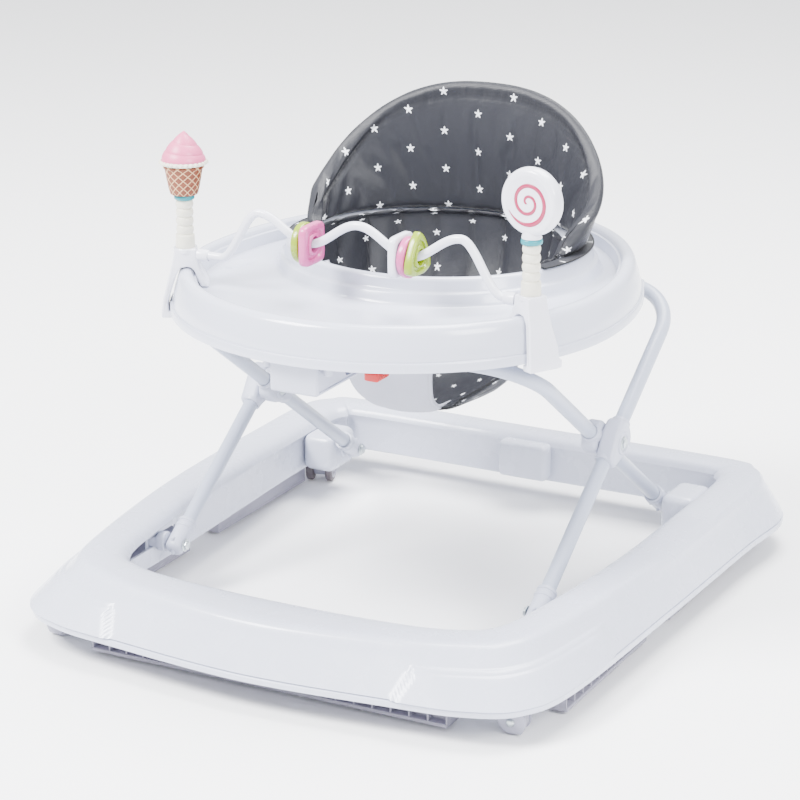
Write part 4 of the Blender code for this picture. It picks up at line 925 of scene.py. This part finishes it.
def barHeight(x):
    x = abs(x - toys["waveCentre"])
    swing = (toys["barPeak"] - toys["barLow"]) / 2
    if x < toys["wave"]:
        return toys["barLow"] + swing * (1 + math.cos(2 * math.pi * x / toys["wave"]))
    share = min((x - toys["wave"]) / toys["fall"], 1)
    return toys["barEnd"] + (toys["barPeak"] - toys["barEnd"]) * (1 + math.cos(math.pi * share)) / 2


def makeClamp(name, side):
    radial = Vector((side * toys["postX"], toys["postY"] - tray["centreY"], 0)).normalized()
    along = Vector((-radial.y, radial.x, 0))
    r, z = tray["radius"], tray["z"]
    centre = Vector((0, tray["centreY"], 0))
    top = toys["baseZ"] + 0.0003
    outline = [
        (r - 0.0045, z - 0.008), (r + 0.0088, z - 0.008), (r + 0.0086, z - 0.002), (r + 0.0062, z + 0.014),
        (r + 0.0008, z + 0.034), (r - 0.0030, z + 0.048), (r - 0.0050, z + 0.057), (r - 0.0055, top),
        (r - 0.0285, top), (r - 0.0295, z + 0.056), (r - 0.0315, z + 0.046),
        (r - 0.0395, z + tray["floor"] + 0.006), (r - 0.0420, z + tray["floor"] + 0.0008),
        (r - 0.0330, z + tray["floor"] + 0.0008), (r - 0.0300, z + tray["floor"] + 0.008),
        (r - 0.0265, z + tray["rim"] - 0.0025), (r - 0.0225, z + tray["rim"] + 0.0008),
        (r - 0.0185, z + tray["rim"] + 0.0014), (r - 0.0120, z + tray["rim"] + 0.0004),
        (r - 0.0075, z + tray["rim"] - 0.0072), (r + 0.0012, z + 0.0103), (r + 0.0012, z - 0.0009),
        (r - 0.0045, z - 0.0009),
    ]
    points = [centre + u * radial - 0.013 * along + Vector((0, 0, v)) for u, v in outline]
    clamp = outlinePiece(f"{name}Clamp", points, 0.026 * along, 0.0)
    for vert in clamp.data.vertices:
        # the outer leg widens towards its foot, the neck draws in to the post
        depth = (vert.co - centre).dot(along)
        wide = 1 + 0.42 * smooth(z + 0.046, z + 0.004, vert.co.z) - 0.12 * smooth(z + 0.044, top, vert.co.z)
        vert.co += (wide - 1) * depth * along
    applyModifier(clamp, "BEVEL", width=0.0018, segments=4, limit_method="ANGLE",
                  angle_limit=math.radians(28))
    # a small hook at the outer leg's foot
    hook = []
    for reach, across in ((0.0086, 0.0165), (0.0086, 0.0205), (0.0030, 0.0215), (0.0012, 0.0165)):
        hook.append(centre + (r + reach) * radial + side * across * along + Vector((0, 0, z - 0.0075)))
    hook = outlinePiece("hook", hook, (0, 0, 0.0085), 0.0012, 3)
    post = Vector((side * toys["postX"], toys["postY"], toys["baseZ"]))
    sleeve = turnedPiece("sleeve", [(-0.004, 0.0), (-0.004, 0.0128), (-0.0005, 0.0126), (0.0004, 0.0118),
                                    (0.0004, 0.0)], post, (0, 0, 1), 48)
    barEnd = Vector((side * (toys["postX"] - 0.0225), toys["postY"], toys["barEnd"] - 0.0005))
    nose = turnedPiece("nose", [(-0.006, 0.0), (-0.006, 0.0068), (0.0050, 0.0064), (0.0062, 0.0056),
                                (0.0062, 0.0046), (0.0, 0.0046)],
                       barEnd, (-side, 0, 0), 32)
    clamp = join(f"{name}Clamp", clamp, hook, sleeve, nose)
    finishPiece(clamp, "tray", "glossyAbs", [f"{name}_toy_clamp"], angle=34)


def makeToyBar():
    end = toys["postX"] - 0.0105
    steps = 180
    across = [-end + 2 * end * k / steps for k in range(steps + 1)]
    points = [Vector((x, toys["postY"], barHeight(x))) for x in across]
    bar = tubePiece("beadBar", points, toys["barRadius"], resolution=6)
    finishPiece(bar, "tray", "glossyAbs", ["toy_bar"], angle=60)


def makePost(name, side):
    # a sleeve, four soft beads and a coloured collar
    at = Vector((side * toys["postX"], toys["postY"], toys["baseZ"]))
    profile = [(0.0003, 0.0), (0.0003, 0.0100), (0.0010, 0.0102), (0.0128, 0.0100), (0.0142, 0.0095),
               (0.0148, 0.0080)]
    height = toys["stemTop"] - toys["baseZ"] - 0.0150
    for k in range(4):
        for step in range(1, 13):
            share = step / 12
            profile.append((0.0150 + height * (k + share) / 4,
                            0.0073 + 0.0019 * math.sin(math.pi * share) ** 0.55))
    profile.append((toys["stemTop"] - toys["baseZ"], 0.0))
    post = turnedPiece(f"{name}Post", profile, at, (0, 0, 1), 56)
    finishPiece(post, "tray", "creamPvc", [f"{name}_toy_post"], angle=50)
    start = toys["stemTop"] + 0.0003 - toys["baseZ"]
    ring = turnedPiece(f"{name}Collar", [(start, 0.0), (start, 0.0098), (start + 0.0006, 0.0106),
                                         (start + 0.0024, 0.0108), (start + 0.0044, 0.0105),
                                         (start + 0.0052, 0.0096), (start + 0.0052, 0.0)], at, (0, 0, 1), 56)
    finishPiece(ring, "tray", "tealPvc", [f"{name}_toy_collar"], angle=50)


iceCream = {"cupFoot": 0.0145, "cupRim": 0.0211, "cupHeight": 0.0308, "rim": 0.0250, "dome": 0.0232,
            "turns": 3.4}


def makeIceCream():
    low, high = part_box("ice_cream_cone")
    at = Vector(((low.x + high.x) / 2, (low.y + high.y) / 2, low.z))
    c = iceCream
    profile = [(0.0, 0.0), (0.0, c["cupFoot"] - 0.0008), (0.0008, c["cupFoot"])]
    for k in range(1, 11):
        share = k / 10
        profile.append((0.0008 + (c["cupHeight"] - 0.004) * share,
                        c["cupFoot"] + (c["cupRim"] - 0.0012 - c["cupFoot"]) * share ** 0.82))
    profile += [(c["cupHeight"] - 0.003, c["cupRim"] - 0.0002),
                (c["cupHeight"] - 0.0022, c["cupRim"] + 0.0003),
                (c["cupHeight"] - 0.0006, c["cupRim"] + 0.0002), (c["cupHeight"], c["cupRim"] - 0.0008),
                (c["cupHeight"], 0.0)]
    steps = 64
    cone = turnedPiece("waffleCone", profile, at, (0, 0, 1), steps,
                       mapAt=lambda i, j: (0.102 * j / steps, profile[i][0]))
    finishPiece(cone, "ice_cream", "wafflePvc", ["ice_cream_cone"], angle=45)
    # the cream's ruffled edge, and a dome with one soft ledge that winds up it
    low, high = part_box("ice_cream_scoop")
    base, top = low.z, high.z
    rings, around = [], 168
    for height, size, wave in ((0.0, 0.0, 0.0), (0.0, 0.75, 0.0), (0.0006, 0.93, 0.4), (0.0018, 1.0, 1.0),
                               (0.0034, 0.985, 1.0), (0.0046, 0.94, 0.8), (0.0052, 0.86, 0.3),
                               (0.0052, 0.0, 0.0)):
        ring = []
        for j in range(around):
            a = 2 * math.pi * j / around
            rad = max(c["rim"] * size + 0.0011 * wave * math.cos(28 * a), 0.0001)
            ring.append(Vector((at.x + rad * math.cos(a), at.y + rad * math.sin(a), base + height)))
        rings.append(ring)
    ruffle = gridPiece("creamRuffle", [ring + [ring[0]] for ring in rings], merge=0.00015)
    finishPiece(ruffle, "ice_cream", "creamPvc", angle=60)
    rings, around, up = [], 96, 72
    base += 0.0030
    for i in range(up + 1):
        share = i / up
        ring = []
        for j in range(around):
            turn = j / around
            a = 2 * math.pi * turn
            radius = c["dome"] * max(1 - share ** 1.62, 0.0)
            # the ledge: the wall steps in a little with each turn
            wound = (share ** 0.9 * c["turns"] + turn) % 1.0
            ledge = 0.0011 * (math.sqrt(max(1 - (2 * wound - 1) ** 2, 0.0)) - 0.6) * smooth(1.0, 0.9, share)
            rad = max(radius + ledge * min(1.0, radius / 0.006), 0.0002)
            if i in (0, up):
                rad = 0.0001
            lean = 0.0016 * share ** 4
            ring.append(Vector((at.x + rad * math.cos(a) + lean, at.y + rad * math.sin(a),
                                base + (top - base) * share)))
        rings.append(ring)
    swirl = gridPiece("creamSwirl", [ring + [ring[0]] for ring in rings], merge=0.00025)
    finishPiece(swirl, "ice_cream", "creamTopPink", ["ice_cream_scoop"], angle=60)


lolly = {"radius": 0.034, "half": 0.0083, "face": 0.0262, "turn": math.radians(10), "turns": 2.1,
         "start": math.radians(241)}


def makeLollipop():
    low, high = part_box("lollipop")
    centre = Vector(((low.x + high.x) / 2, (low.y + high.y) / 2, high.z - lolly["radius"]))
    half, r, face = lolly["half"], lolly["radius"], lolly["face"]
    axis = Vector((math.sin(lolly["turn"]), math.cos(lolly["turn"]), 0))
    across = Vector((axis.y, -axis.x, 0))
    profile = [(-half + 0.0003, 0.0), (-half + 0.0003, face - 0.0004), (-half, face), (-half, face + 0.0010)]
    for k in range(1, 14):
        a = math.pi * (k / 14) - math.pi / 2
        # a rounded edge with a shallow line on each side of its middle
        line = 0.00035 * math.exp(-((abs(math.sin(a)) - 0.5) / 0.08) ** 2)
        profile.append((half * math.sin(a), face + 0.0012 + (r - face - 0.0012) * math.cos(a) ** 0.75 - line))
    profile += [(half, face + 0.0010), (half, face), (half - 0.0003, face - 0.0004), (half - 0.0003, 0.0)]
    disc = turnedPiece("lollyDisc", profile, centre, axis, 96)
    base = Vector((centre.x, centre.y, low.z))
    neck = turnedPiece("neck", [(0.0002, 0.0), (0.0002, 0.0100), (0.0015, 0.0102), (0.0045, 0.0092),
                                (0.0090, 0.0076), (0.0090, 0.0)], base, (0, 0, 1), 48)
    disc = join("lollyDisc", disc, neck)
    finishPiece(disc, "lollipop", "glossyAbs", ["lollipop"], angle=42)
    for name, sign in (("Front", -1), ("Back", 1)):
        # a spiral stripe that widens outwards and ends in a taper
        rows = []
        steps = 180
        for k in range(steps + 1):
            share = k / steps
            a = sign * 2 * math.pi * lolly["turns"] * share + lolly["start"]
            radius = 0.0014 + (face - 0.0036) * share
            width = 0.0013 + 0.0012 * share
            width *= max(smooth(0.0, 0.04, share), 0.05) * max(math.sqrt(smooth(1.0, 0.88, share)), 0.04)
            out = math.cos(a) * across + math.sin(a) * Vector((0, 0, 1))
            middle = centre + radius * out + sign * (half - 0.0006) * axis
            row = []
            for q in range(9):
                b = math.pi * q / 8
                row.append(middle + width * math.cos(b) * out + sign * 0.0011 * math.sin(b) ** 0.7 * axis)
            rows.append(row + [row[0]])
        stripe = gridPiece(f"candyStripe{name}", rows)
        finishPiece(stripe, "lollipop", "candyPink", angle=50)


beadLooks = {
    "lime_ring_bead": ("ring", "limeAbs", "lime"), "pink_square_bead": ("square", "pinkAbs", "pink"),
    "white_square_bead": ("square", "glossyAbs", "toy_white"),
    "pink_ring_bead": ("ring", "pinkAbs", "pink"), "lime_triangle_bead": ("triangle", "limeAbs", "lime"),
}


def makeBeads():
    for node, (shape, surface, slotName) in beadLooks.items():
        low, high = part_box(node)
        middle = (low.x + high.x) / 2
        centre = Vector((middle, toys["postY"], barHeight(middle)))
        count, half, size = 96, (high.x - low.x) / 2, 0.0212

        def reach(a):
            if shape == "square":
                return size * (abs(math.cos(a)) ** 6 + abs(math.sin(a)) ** 6) ** (-1 / 6)
            if shape == "triangle":
                near = (a - math.pi / 2 + math.pi / 3) % (2 * math.pi / 3) - math.pi / 3
                return size * (1.22 - 0.36 * math.sin(abs(near) / (math.pi / 3) * math.pi / 2) ** 1.05)
            return size

        # out over the rounded edge, into the dished face with its raised lip, then through the hole
        rings = [
            (1.0, 0.0), (1.0, 0.55), (0.98, 0.85), (0.94, 0.99), (0.80, 1.0), (0.765, 0.93), (0.745, 0.62),
            (0.73, 0.42), (0.62, 0.40), (0.605, 0.44), (0.59, 0.86), (0.56, 0.98), (0.485, 1.0),
        ]
        rings += [(0.485, -1.0)] + [(s, -d) for s, d in rings[-2::-1]]
        built, hole = [], 0.0085
        for scale, depth in rings:
            ring = []
            for k in range(count):
                a = 2 * math.pi * k / count
                rad = hole + (reach(a) - hole) * ((scale - 0.485) / 0.515)
                ring.append(centre + Vector((depth * half, rad * math.cos(a), rad * math.sin(a))))
            built.append(ring)
        bead = ringPiece(camelName(node), built)
        finishPiece(bead, node, surface, [node], angle=50)


seatBack = {"top": 0.528, "drop": 0.112, "flatness": 2.5, "half": 0.012, "reach": math.radians(105),
            "columns": 176}


def backEdge(turn):
    # the pad's lower and upper edges, in the middle of its thickness, at an angle from the rear
    t = tray
    low = Vector(((t["openX"] - 0.005) * math.sin(turn),
                  t["openCentre"] + 0.011 + (t["openY"] - 0.021) * math.cos(turn),
                  t["z"] + t["ring"] + 0.0015))
    top = seatBack["top"] - seatBack["drop"] * abs(math.sin(0.8 * turn)) ** seatBack["flatness"]
    high = Vector(((t["openX"] + 0.010) * math.sin(turn),
                   t["openCentre"] + 0.043 + (t["openY"] - 0.061) * math.cos(turn), top))
    return low, high, Vector((math.sin(turn), math.cos(turn), 0))


# stores the mask of puckers and painted shade on each point
def setPuckerShade(piece, values):
    puckerShadeMask = piece.data.attributes.new("puckerAndShade", "FLOAT", "POINT")
    for item, value in zip(puckerShadeMask.data, values):
        item.value = value


def inflate(piece, pinned, cap, pressure=4.0, frames=20):
    # cloth under air pressure, its seams held, and no point moved further than the cap
    rest = [v.co.copy() for v in piece.data.vertices]
    activate(piece)
    group = piece.vertex_groups.new(name="sewn")
    for index, weight in pinned.items():
        group.add([index], weight, "REPLACE")
    cloth = piece.modifiers.new("cloth", "CLOTH")
    cloth.settings.quality = 5
    cloth.settings.mass = 0.3
    cloth.settings.tension_stiffness = 18
    cloth.settings.compression_stiffness = 18
    cloth.settings.shear_stiffness = 8
    cloth.settings.bending_stiffness = 0.6
    cloth.settings.use_pressure = True
    cloth.settings.uniform_pressure_force = pressure
    cloth.settings.effector_weights.gravity = 0
    cloth.settings.vertex_group_mass = "sewn"
    cloth.point_cache.frame_start, cloth.point_cache.frame_end = 1, frames
    for step in range(1, frames + 1):
        bpy.context.scene.frame_set(step)
    bpy.ops.object.modifier_apply(modifier="cloth")
    bpy.context.scene.frame_set(1)
    for vert, old in zip(piece.data.vertices, rest):
        move = vert.co - old
        if move.length > cap:
            vert.co = old + move * (cap / move.length)


def makeSeatBack():
    s = seatBack
    columns, inside, outside = s["columns"], 30, 12
    # how far round the pad each column is, measured along the middle of its face
    ends = [backEdge(-s["reach"] + 2 * s["reach"] * k / columns) for k in range(columns + 1)]
    walk = [0.0]
    for k in range(1, columns + 1):
        walk.append(walk[-1] + (ends[k][0].lerp(ends[k][1],
                                                0.5) - ends[k - 1][0].lerp(ends[k - 1][1], 0.5)).length)
    rows, puckerShadeRows, spots, pinned = [], [], [], []
    for k, (low, high, out) in enumerate(ends):
        turn = -s["reach"] + 2 * s["reach"] * k / columns
        tall = (high - low).length
        nearEnd = min(walk[k], walk[-1] - walk[k])
        closing = max(math.sqrt(max(1 - (1 - min(nearEnd / 0.012, 1.0)) ** 2, 0.0)), 0.02)
        side = smooth(0.35, 0.95, abs(turn) / s["reach"])
        seamDown = 0.0135 + 0.015 * side
        gather = smooth(0.55, 1.0, abs(turn) / s["reach"])
        ring, marks, places, held = [], [], [], []

        def place(share, across, sewn):
            # cloth gathers into folds towards the two lower corners
            middle = low.lerp(high, 0.5 + (share - 0.5) * (0.75 + 0.25 * closing))
            down = (1 - share) * tall
            fold = 0.0020 * gather * math.sin(95 * down + 22 * turn) * smooth(1.0, 0.2, share)
            fold += 0.0012 * gather * math.sin(160 * walk[k] + 5 * share) * (1 - share)
            ripple = 0.0007 * noise.noise(Vector((walk[k] * 55, share * 7, across * 2)))
            return middle + (-across * (s["half"] - 0.0035) * closing + (fold + ripple) * (1 - sewn)) * out

        for i in range(inside + 1):
            share = i / inside
            # the seam is a groove at its own distance from the top edge and from each end
            away = min((1 - share) * tall - seamDown, nearEnd - 0.017)
            groove = math.exp(-(away / 0.0042) ** 2)
            foot = smooth(0.05, 0.0, share)
            crown = smooth(0.0, 1.0, (1 - share) * tall / 0.0125)
            across = max(1.0 - 0.55 * groove - 0.5 * foot, 0.0) * math.sqrt(max(crown, 0.0))
            ring.append(place(share, across, max(groove, foot)))
            # painted shade: darker in the seam groove, along the bottom edge and towards the gathered lower
            # corners
            marks.append(min(0.9 * groove + 0.35 * math.exp(-(away / 0.012) ** 2) + 0.8 * foot
                             + 0.45 * gather * (1 - share), 1.0))
            held.append(max(smooth(0.0045, 0.002, abs(away)), foot))
            places.append((walk[k] + 0.02, 0.006 + share * tall))
        for i in range(outside, -1, -1):
            share = i / outside * 0.97
            crown = smooth(0.0, 1.0, (1 - share) * tall / 0.016)
            ring.append(place(share, -math.sqrt(max(crown, 0.0)) * (1 - 0.4 * smooth(0.08, 0.0, share)), 0.4))
            # painted shade: the outer face darker towards its bottom edge
            marks.append(0.15 + 0.7 * smooth(0.1, 0.0, share))
            held.append(smooth(0.06, 0.0, share))
            places.append((walk[k] + 0.02, 0.012 + 2 * tall - share * tall))
        rows.append(ring + [ring[0]])
        puckerShadeRows.append(marks + [marks[0]])
        spots.append(places + [places[0]])
        pinned.append(held + [held[0]])
    pad = gridPiece("seatBackPad", rows, closed=False, mapAt=lambda i, j: spots[i][j])
    setPuckerShade(pad, [m for marks in puckerShadeRows for m in marks])
    held = pad.data.attributes.new("held", "FLOAT", "POINT")
    for item, value in zip(held.data, (w for row in pinned for w in row)):
        item.value = value
    tidyMesh(pad, 1e-5)
    weights = {i: item.value for i, item in enumerate(pad.data.attributes["held"].data) if item.value > 0.02}
    inflate(pad, weights, 0.006)
    applyModifier(pad, "SUBSURF", levels=1, render_levels=1)
    finishPiece(pad, "tray", "starTaffeta", ["seat_back_pad"], angle=80)

    # a cloth flange lies on the ring under the pad, and piping closes its outer edge
    ring, z = tray["openX"], tray["z"] + tray["ring"]
    rows, line = [], []
    for k in range(121):
        turn = math.radians(-113 + 226 * k / 120)
        row = []
        for away, height in ((0.0040, 0.0006), (0.0125, 0.0012), (-0.0020, 0.0022)):
            spot = trayPoint(math.pi - turn, "opening", away)
            row.append(Vector((spot.x, spot.y, z + height)))
        row = [row[0], row[1], row[1] + Vector((0, 0, 0.0009)), row[2]]
        rows.append(row + [row[0]])
        line.append(row[1] + Vector((0, 0, 0.0004)))
    flange = gridPiece("seatFlange", rows, mapAt=lambda i, j: (0.0048 * i, 0.006 * j))
    finishPiece(flange, "tray", "starTaffeta", angle=60)
    piping = tubePiece("seatBackPiping", line, 0.0011, resolution=2)
    mapPiping(piping)
    finishPiece(piping, "tray", "plainTaffeta", angle=60)


def mapPiping(piece):
    # a small piece of plain cloth: its map is its place seen from the front
    layer = piece.data.uv_layers.new(name="clothMap")
    for loop in piece.data.loops:
        spot = piece.data.vertices[loop.vertex_index].co
        layer.data[loop.index].uv = (spot.x, spot.z)


sling = {"channel": 0.043, "puff": 0.0055, "wall": 0.004}


def slingRow(stations, t):
    # a row's numbers between stations, read along a smooth curve
    spot = t * (len(stations) - 1)
    i = min(int(spot), len(stations) - 2)
    f = spot - i
    row = []
    for k in range(len(stations[0])):
        p0, p1, p2, p3 = (stations[min(max(i + d, 0), len(stations) - 1)][k] for d in (-1, 0, 1, 2))
        row.append(0.5 * (2 * p1 + (p2 - p0) * f + (2 * p0 - 5 * p1 + 4 * p2 - p3) * f ** 2
                          + (3 * p1 - p0 - 3 * p2 + p3) * f ** 3))
    return row


def makeSling():
    t = tray
    top = t["z"] + t["ring"] - 0.006
    rear = t["openCentre"] + t["openY"] - 0.011
    wide = t["openX"] - 0.010
    middle = t["openCentre"]
    # each station is (middle y, side y, middle z, side z, half width, angle to the side in degrees)
    stations = [
        (rear - 0.013, middle - 0.035, top + 0.0085, top + 0.0060, wide - 0.003, 98),
        (rear - 0.008, middle - 0.040, top - 0.002, top - 0.006, wide - 0.004, 98),
        (rear - 0.018, middle - 0.034, top - 0.050, top - 0.046, wide - 0.012, 90),
        (rear - 0.054, middle - 0.032, top - 0.118, top - 0.074, wide - 0.024, 84),
        (rear - 0.088, middle - 0.036, top - 0.149, top - 0.097, wide - 0.034, 82),
        (rear - 0.128, middle - 0.046, top - 0.165, top - 0.120, wide - 0.046, 80),
        (rear - 0.186, middle - 0.070, top - 0.169, top - 0.147, wide - 0.084, 80),
    ]
    rows, marks = [], []
    down, across = 72, 120
    for i in range(down + 1):
        share = i / down
        midY, sideY, midZ, sideZ, half, angle = slingRow(stations, share)
        row, mark = [], []
        for k in range(across + 1):
            a = math.radians(angle) * (2 * k / across - 1)
            rise = (1 - math.cos(a)) / (1 - math.cos(math.radians(angle)))
            edgeX = half * math.sin(a) / max(math.sin(math.radians(min(angle, 90))), 0.9)
            spot = Vector((edgeX, midY + (sideY - midY) * rise, midZ + (sideZ - midZ) * rise))
            u = 0.15 * a
            quilt = smooth(0.0, 0.03, share) * smooth(0.52, 0.40, share)
            cell = abs(math.sin(math.pi * (u / sling["channel"] + 0.5)))
            puff = sling["puff"] * quilt * (cell ** 0.55 - 0.55)
            inward = Vector((-math.sin(a), -math.cos(a), 0.35 * share)).normalized()
            wrinkle = 0.0014 * noise.noise(Vector((u * 60, share * 9, 0.3))) * (0.4 + share)
            row.append(spot + (puff + wrinkle) * inward)
            # painted shade: darker in the quilting channels and along the top and bottom edges
            mark.append(min(quilt * (1 - cell) ** 3 * 1.3 + smooth(0.05, 0.0, share)
                            + smooth(0.95, 1.0, share), 1.0))
        rows.append(row)
        marks.append(mark)
    seat = gridPiece("quiltedSeat", rows, closed=False,
                     mapAt=lambda i, j: (0.15 * math.radians(90) * (2 * j / across - 1) + 0.02,
                                         -0.0052 * i + 0.4))
    setPuckerShade(seat, [m for mark in marks for m in mark])
    applyModifier(seat, "SOLIDIFY", thickness=sling["wall"], offset=0.0)
    tidyMesh(seat, 0)
    applyModifier(seat, "SUBSURF", levels=1, render_levels=1)
    finishPiece(seat, "tray", "starTaffeta", ["seat_sling"], angle=80)
    # dark binding along the seat's open edge
    edge = [row[0] for row in rows] + rows[down][1:across] + [row[across] for row in rows[::-1]]
    binding = tubePiece("seatBinding", edge[2:-2], 0.0015, resolution=3)
    mapPiping(binding)
    finishPiece(binding, "tray", "plainTaffeta", angle=60)


def makeCrotchPanel():
    t = tray
    top = t["z"] + t["ring"] - 0.006
    front = t["openCentre"] - t["openY"] + 0.008
    stations = [
        (front + 0.001, front + 0.026, top, top, 0.075), (front + 0.005, front + 0.021, top - 0.040,
                                                          top - 0.040, 0.062),
        (front + 0.017, front + 0.026, top - 0.090, top - 0.088, 0.053),
        (front + 0.038, front + 0.044, top - 0.136, top - 0.133, 0.047),
        (front + 0.070, front + 0.074, top - 0.168, top - 0.160, 0.044),
        (front + 0.112, front + 0.112, top - 0.177, top - 0.166, 0.044),
    ]
    rows, marks = [], []
    down, across = 56, 36
    for i in range(down + 1):
        midY, sideY, midZ, sideZ, half = slingRow(stations, i / down)
        row, mark = [], []
        for k in range(across + 1):
            a = math.radians(80) * (2 * k / across - 1)
            rise = (1 - math.cos(a)) / (1 - math.cos(math.radians(80)))
            crease = 0.0022 * noise.noise(Vector((a * 2.5, i * 0.12, 4.2)))
            x = half * math.sin(a) / math.sin(math.radians(80)) - 0.014 * smooth(0.2, 0.9, i / down)
            row.append(Vector((x, midY + (sideY - midY) * rise + crease, midZ + (sideZ - midZ) * rise)))
            # painted shade: darker towards the side edges beside the bindings, where the cloth also puckers
            mark.append(smooth(0.86, 1.0, abs(2 * k / across - 1)))
        rows.append(row)
        marks.append(mark)
    panel = gridPiece("crotchPanel", rows, closed=False, mapAt=lambda i, j: (0.0035 * j, -0.0035 * i))
    setPuckerShade(panel, [m for mark in marks for m in mark])
    applyModifier(panel, "SOLIDIFY", thickness=0.0035, offset=0.0)
    tidyMesh(panel, 0)
    applyModifier(panel, "SUBSURF", levels=1, render_levels=1)
    finishPiece(panel, "tray", "cottonLining", ["crotch_panel"], angle=80)
    for name, k in (("leftPanelBinding", 0), ("rightPanelBinding", across)):
        line = [row[k] for row in rows]
        binding = tubePiece(name, line, 0.0026, resolution=3)
        mapPiping(binding)
        finishPiece(binding, "tray", "cottonLining", angle=60)


studio = {"camera": (1.2601, -2.4272, 1.1036), "target": (0.0, -0.0206, 0.2220), "lens": 120.7}


def makeStudio():
    deselect()
    bpy.ops.mesh.primitive_plane_add(size=60, location=(0, 0, 0))
    floor = bpy.context.object
    floor.name = "studioFloor"
    made, tree, shader = startMaterial("paperSweep", Roughness=0.75, IOR=1.4)
    place = addNode(tree, "ShaderNodeTexCoord").outputs["Object"]
    tooth = addNode(tree, "ShaderNodeTexNoise", {"Vector": place, "Scale": 1.3, "Detail": 2.0})
    tint = addNode(tree, "ShaderNodeMix", {0: tooth.outputs["Fac"], 6: hexColour("#f6f6f8"),
                                           7: hexColour("#fafafb")}, data_type="RGBA")
    tree.links.new(tint.outputs[2], shader.inputs["Base Color"])
    floor.data.materials.append(made)

    world = bpy.data.worlds.new("softWhiteRoom")
    world.use_nodes = True
    world.node_tree.nodes["Background"].inputs["Color"].default_value = (0.96, 0.975, 1.0, 1)
    world.node_tree.nodes["Background"].inputs["Strength"].default_value = 1.7
    bpy.context.scene.world = world
    for name, spot, size, power in (
        ("keyPanel", (-1.6, -1.9, 2.9), 1.3, 420), ("fillPanel", (2.4, -1.2, 1.9), 1.1, 110),
        ("topPanel", (0.2, 0.9, 3.0), 1.8, 260),
    ):
        bpy.ops.object.light_add(type="AREA", location=spot)
        lamp = bpy.context.object
        lamp.name = name
        lamp.data.size = size
        lamp.data.energy = power
        lamp.rotation_euler = (Vector((0, 0, 0.25)) - Vector(spot)).to_track_quat("-Z", "Y").to_euler()

    bpy.ops.object.camera_add(location=studio["camera"])
    eye = bpy.context.object
    eye.name = "productCamera"
    eye.rotation_euler = (Vector(studio["target"]) - Vector(studio["camera"])).to_track_quat("-Z",
                                                                                             "Y").to_euler()
    eye.data.lens = studio["lens"]
    eye.data.sensor_width = 36
    bpy.context.scene.camera = eye


makeStudio()
makeBase()
makeBrakePads()
print("base made")
makeCasters()
print("casters made")
makeFrame()
print("frame made")
makeTray()
makeAdjuster()
print("tray made")
for toySide, toySign in (("left", -1), ("right", 1)):
    makeClamp(toySide, toySign)
    makePost(toySide, toySign)
makeToyBar()
makeIceCream()
makeLollipop()
makeBeads()
print("toys made")
makeSeatBack()
makeSling()
makeCrotchPanel()
print("seat made")
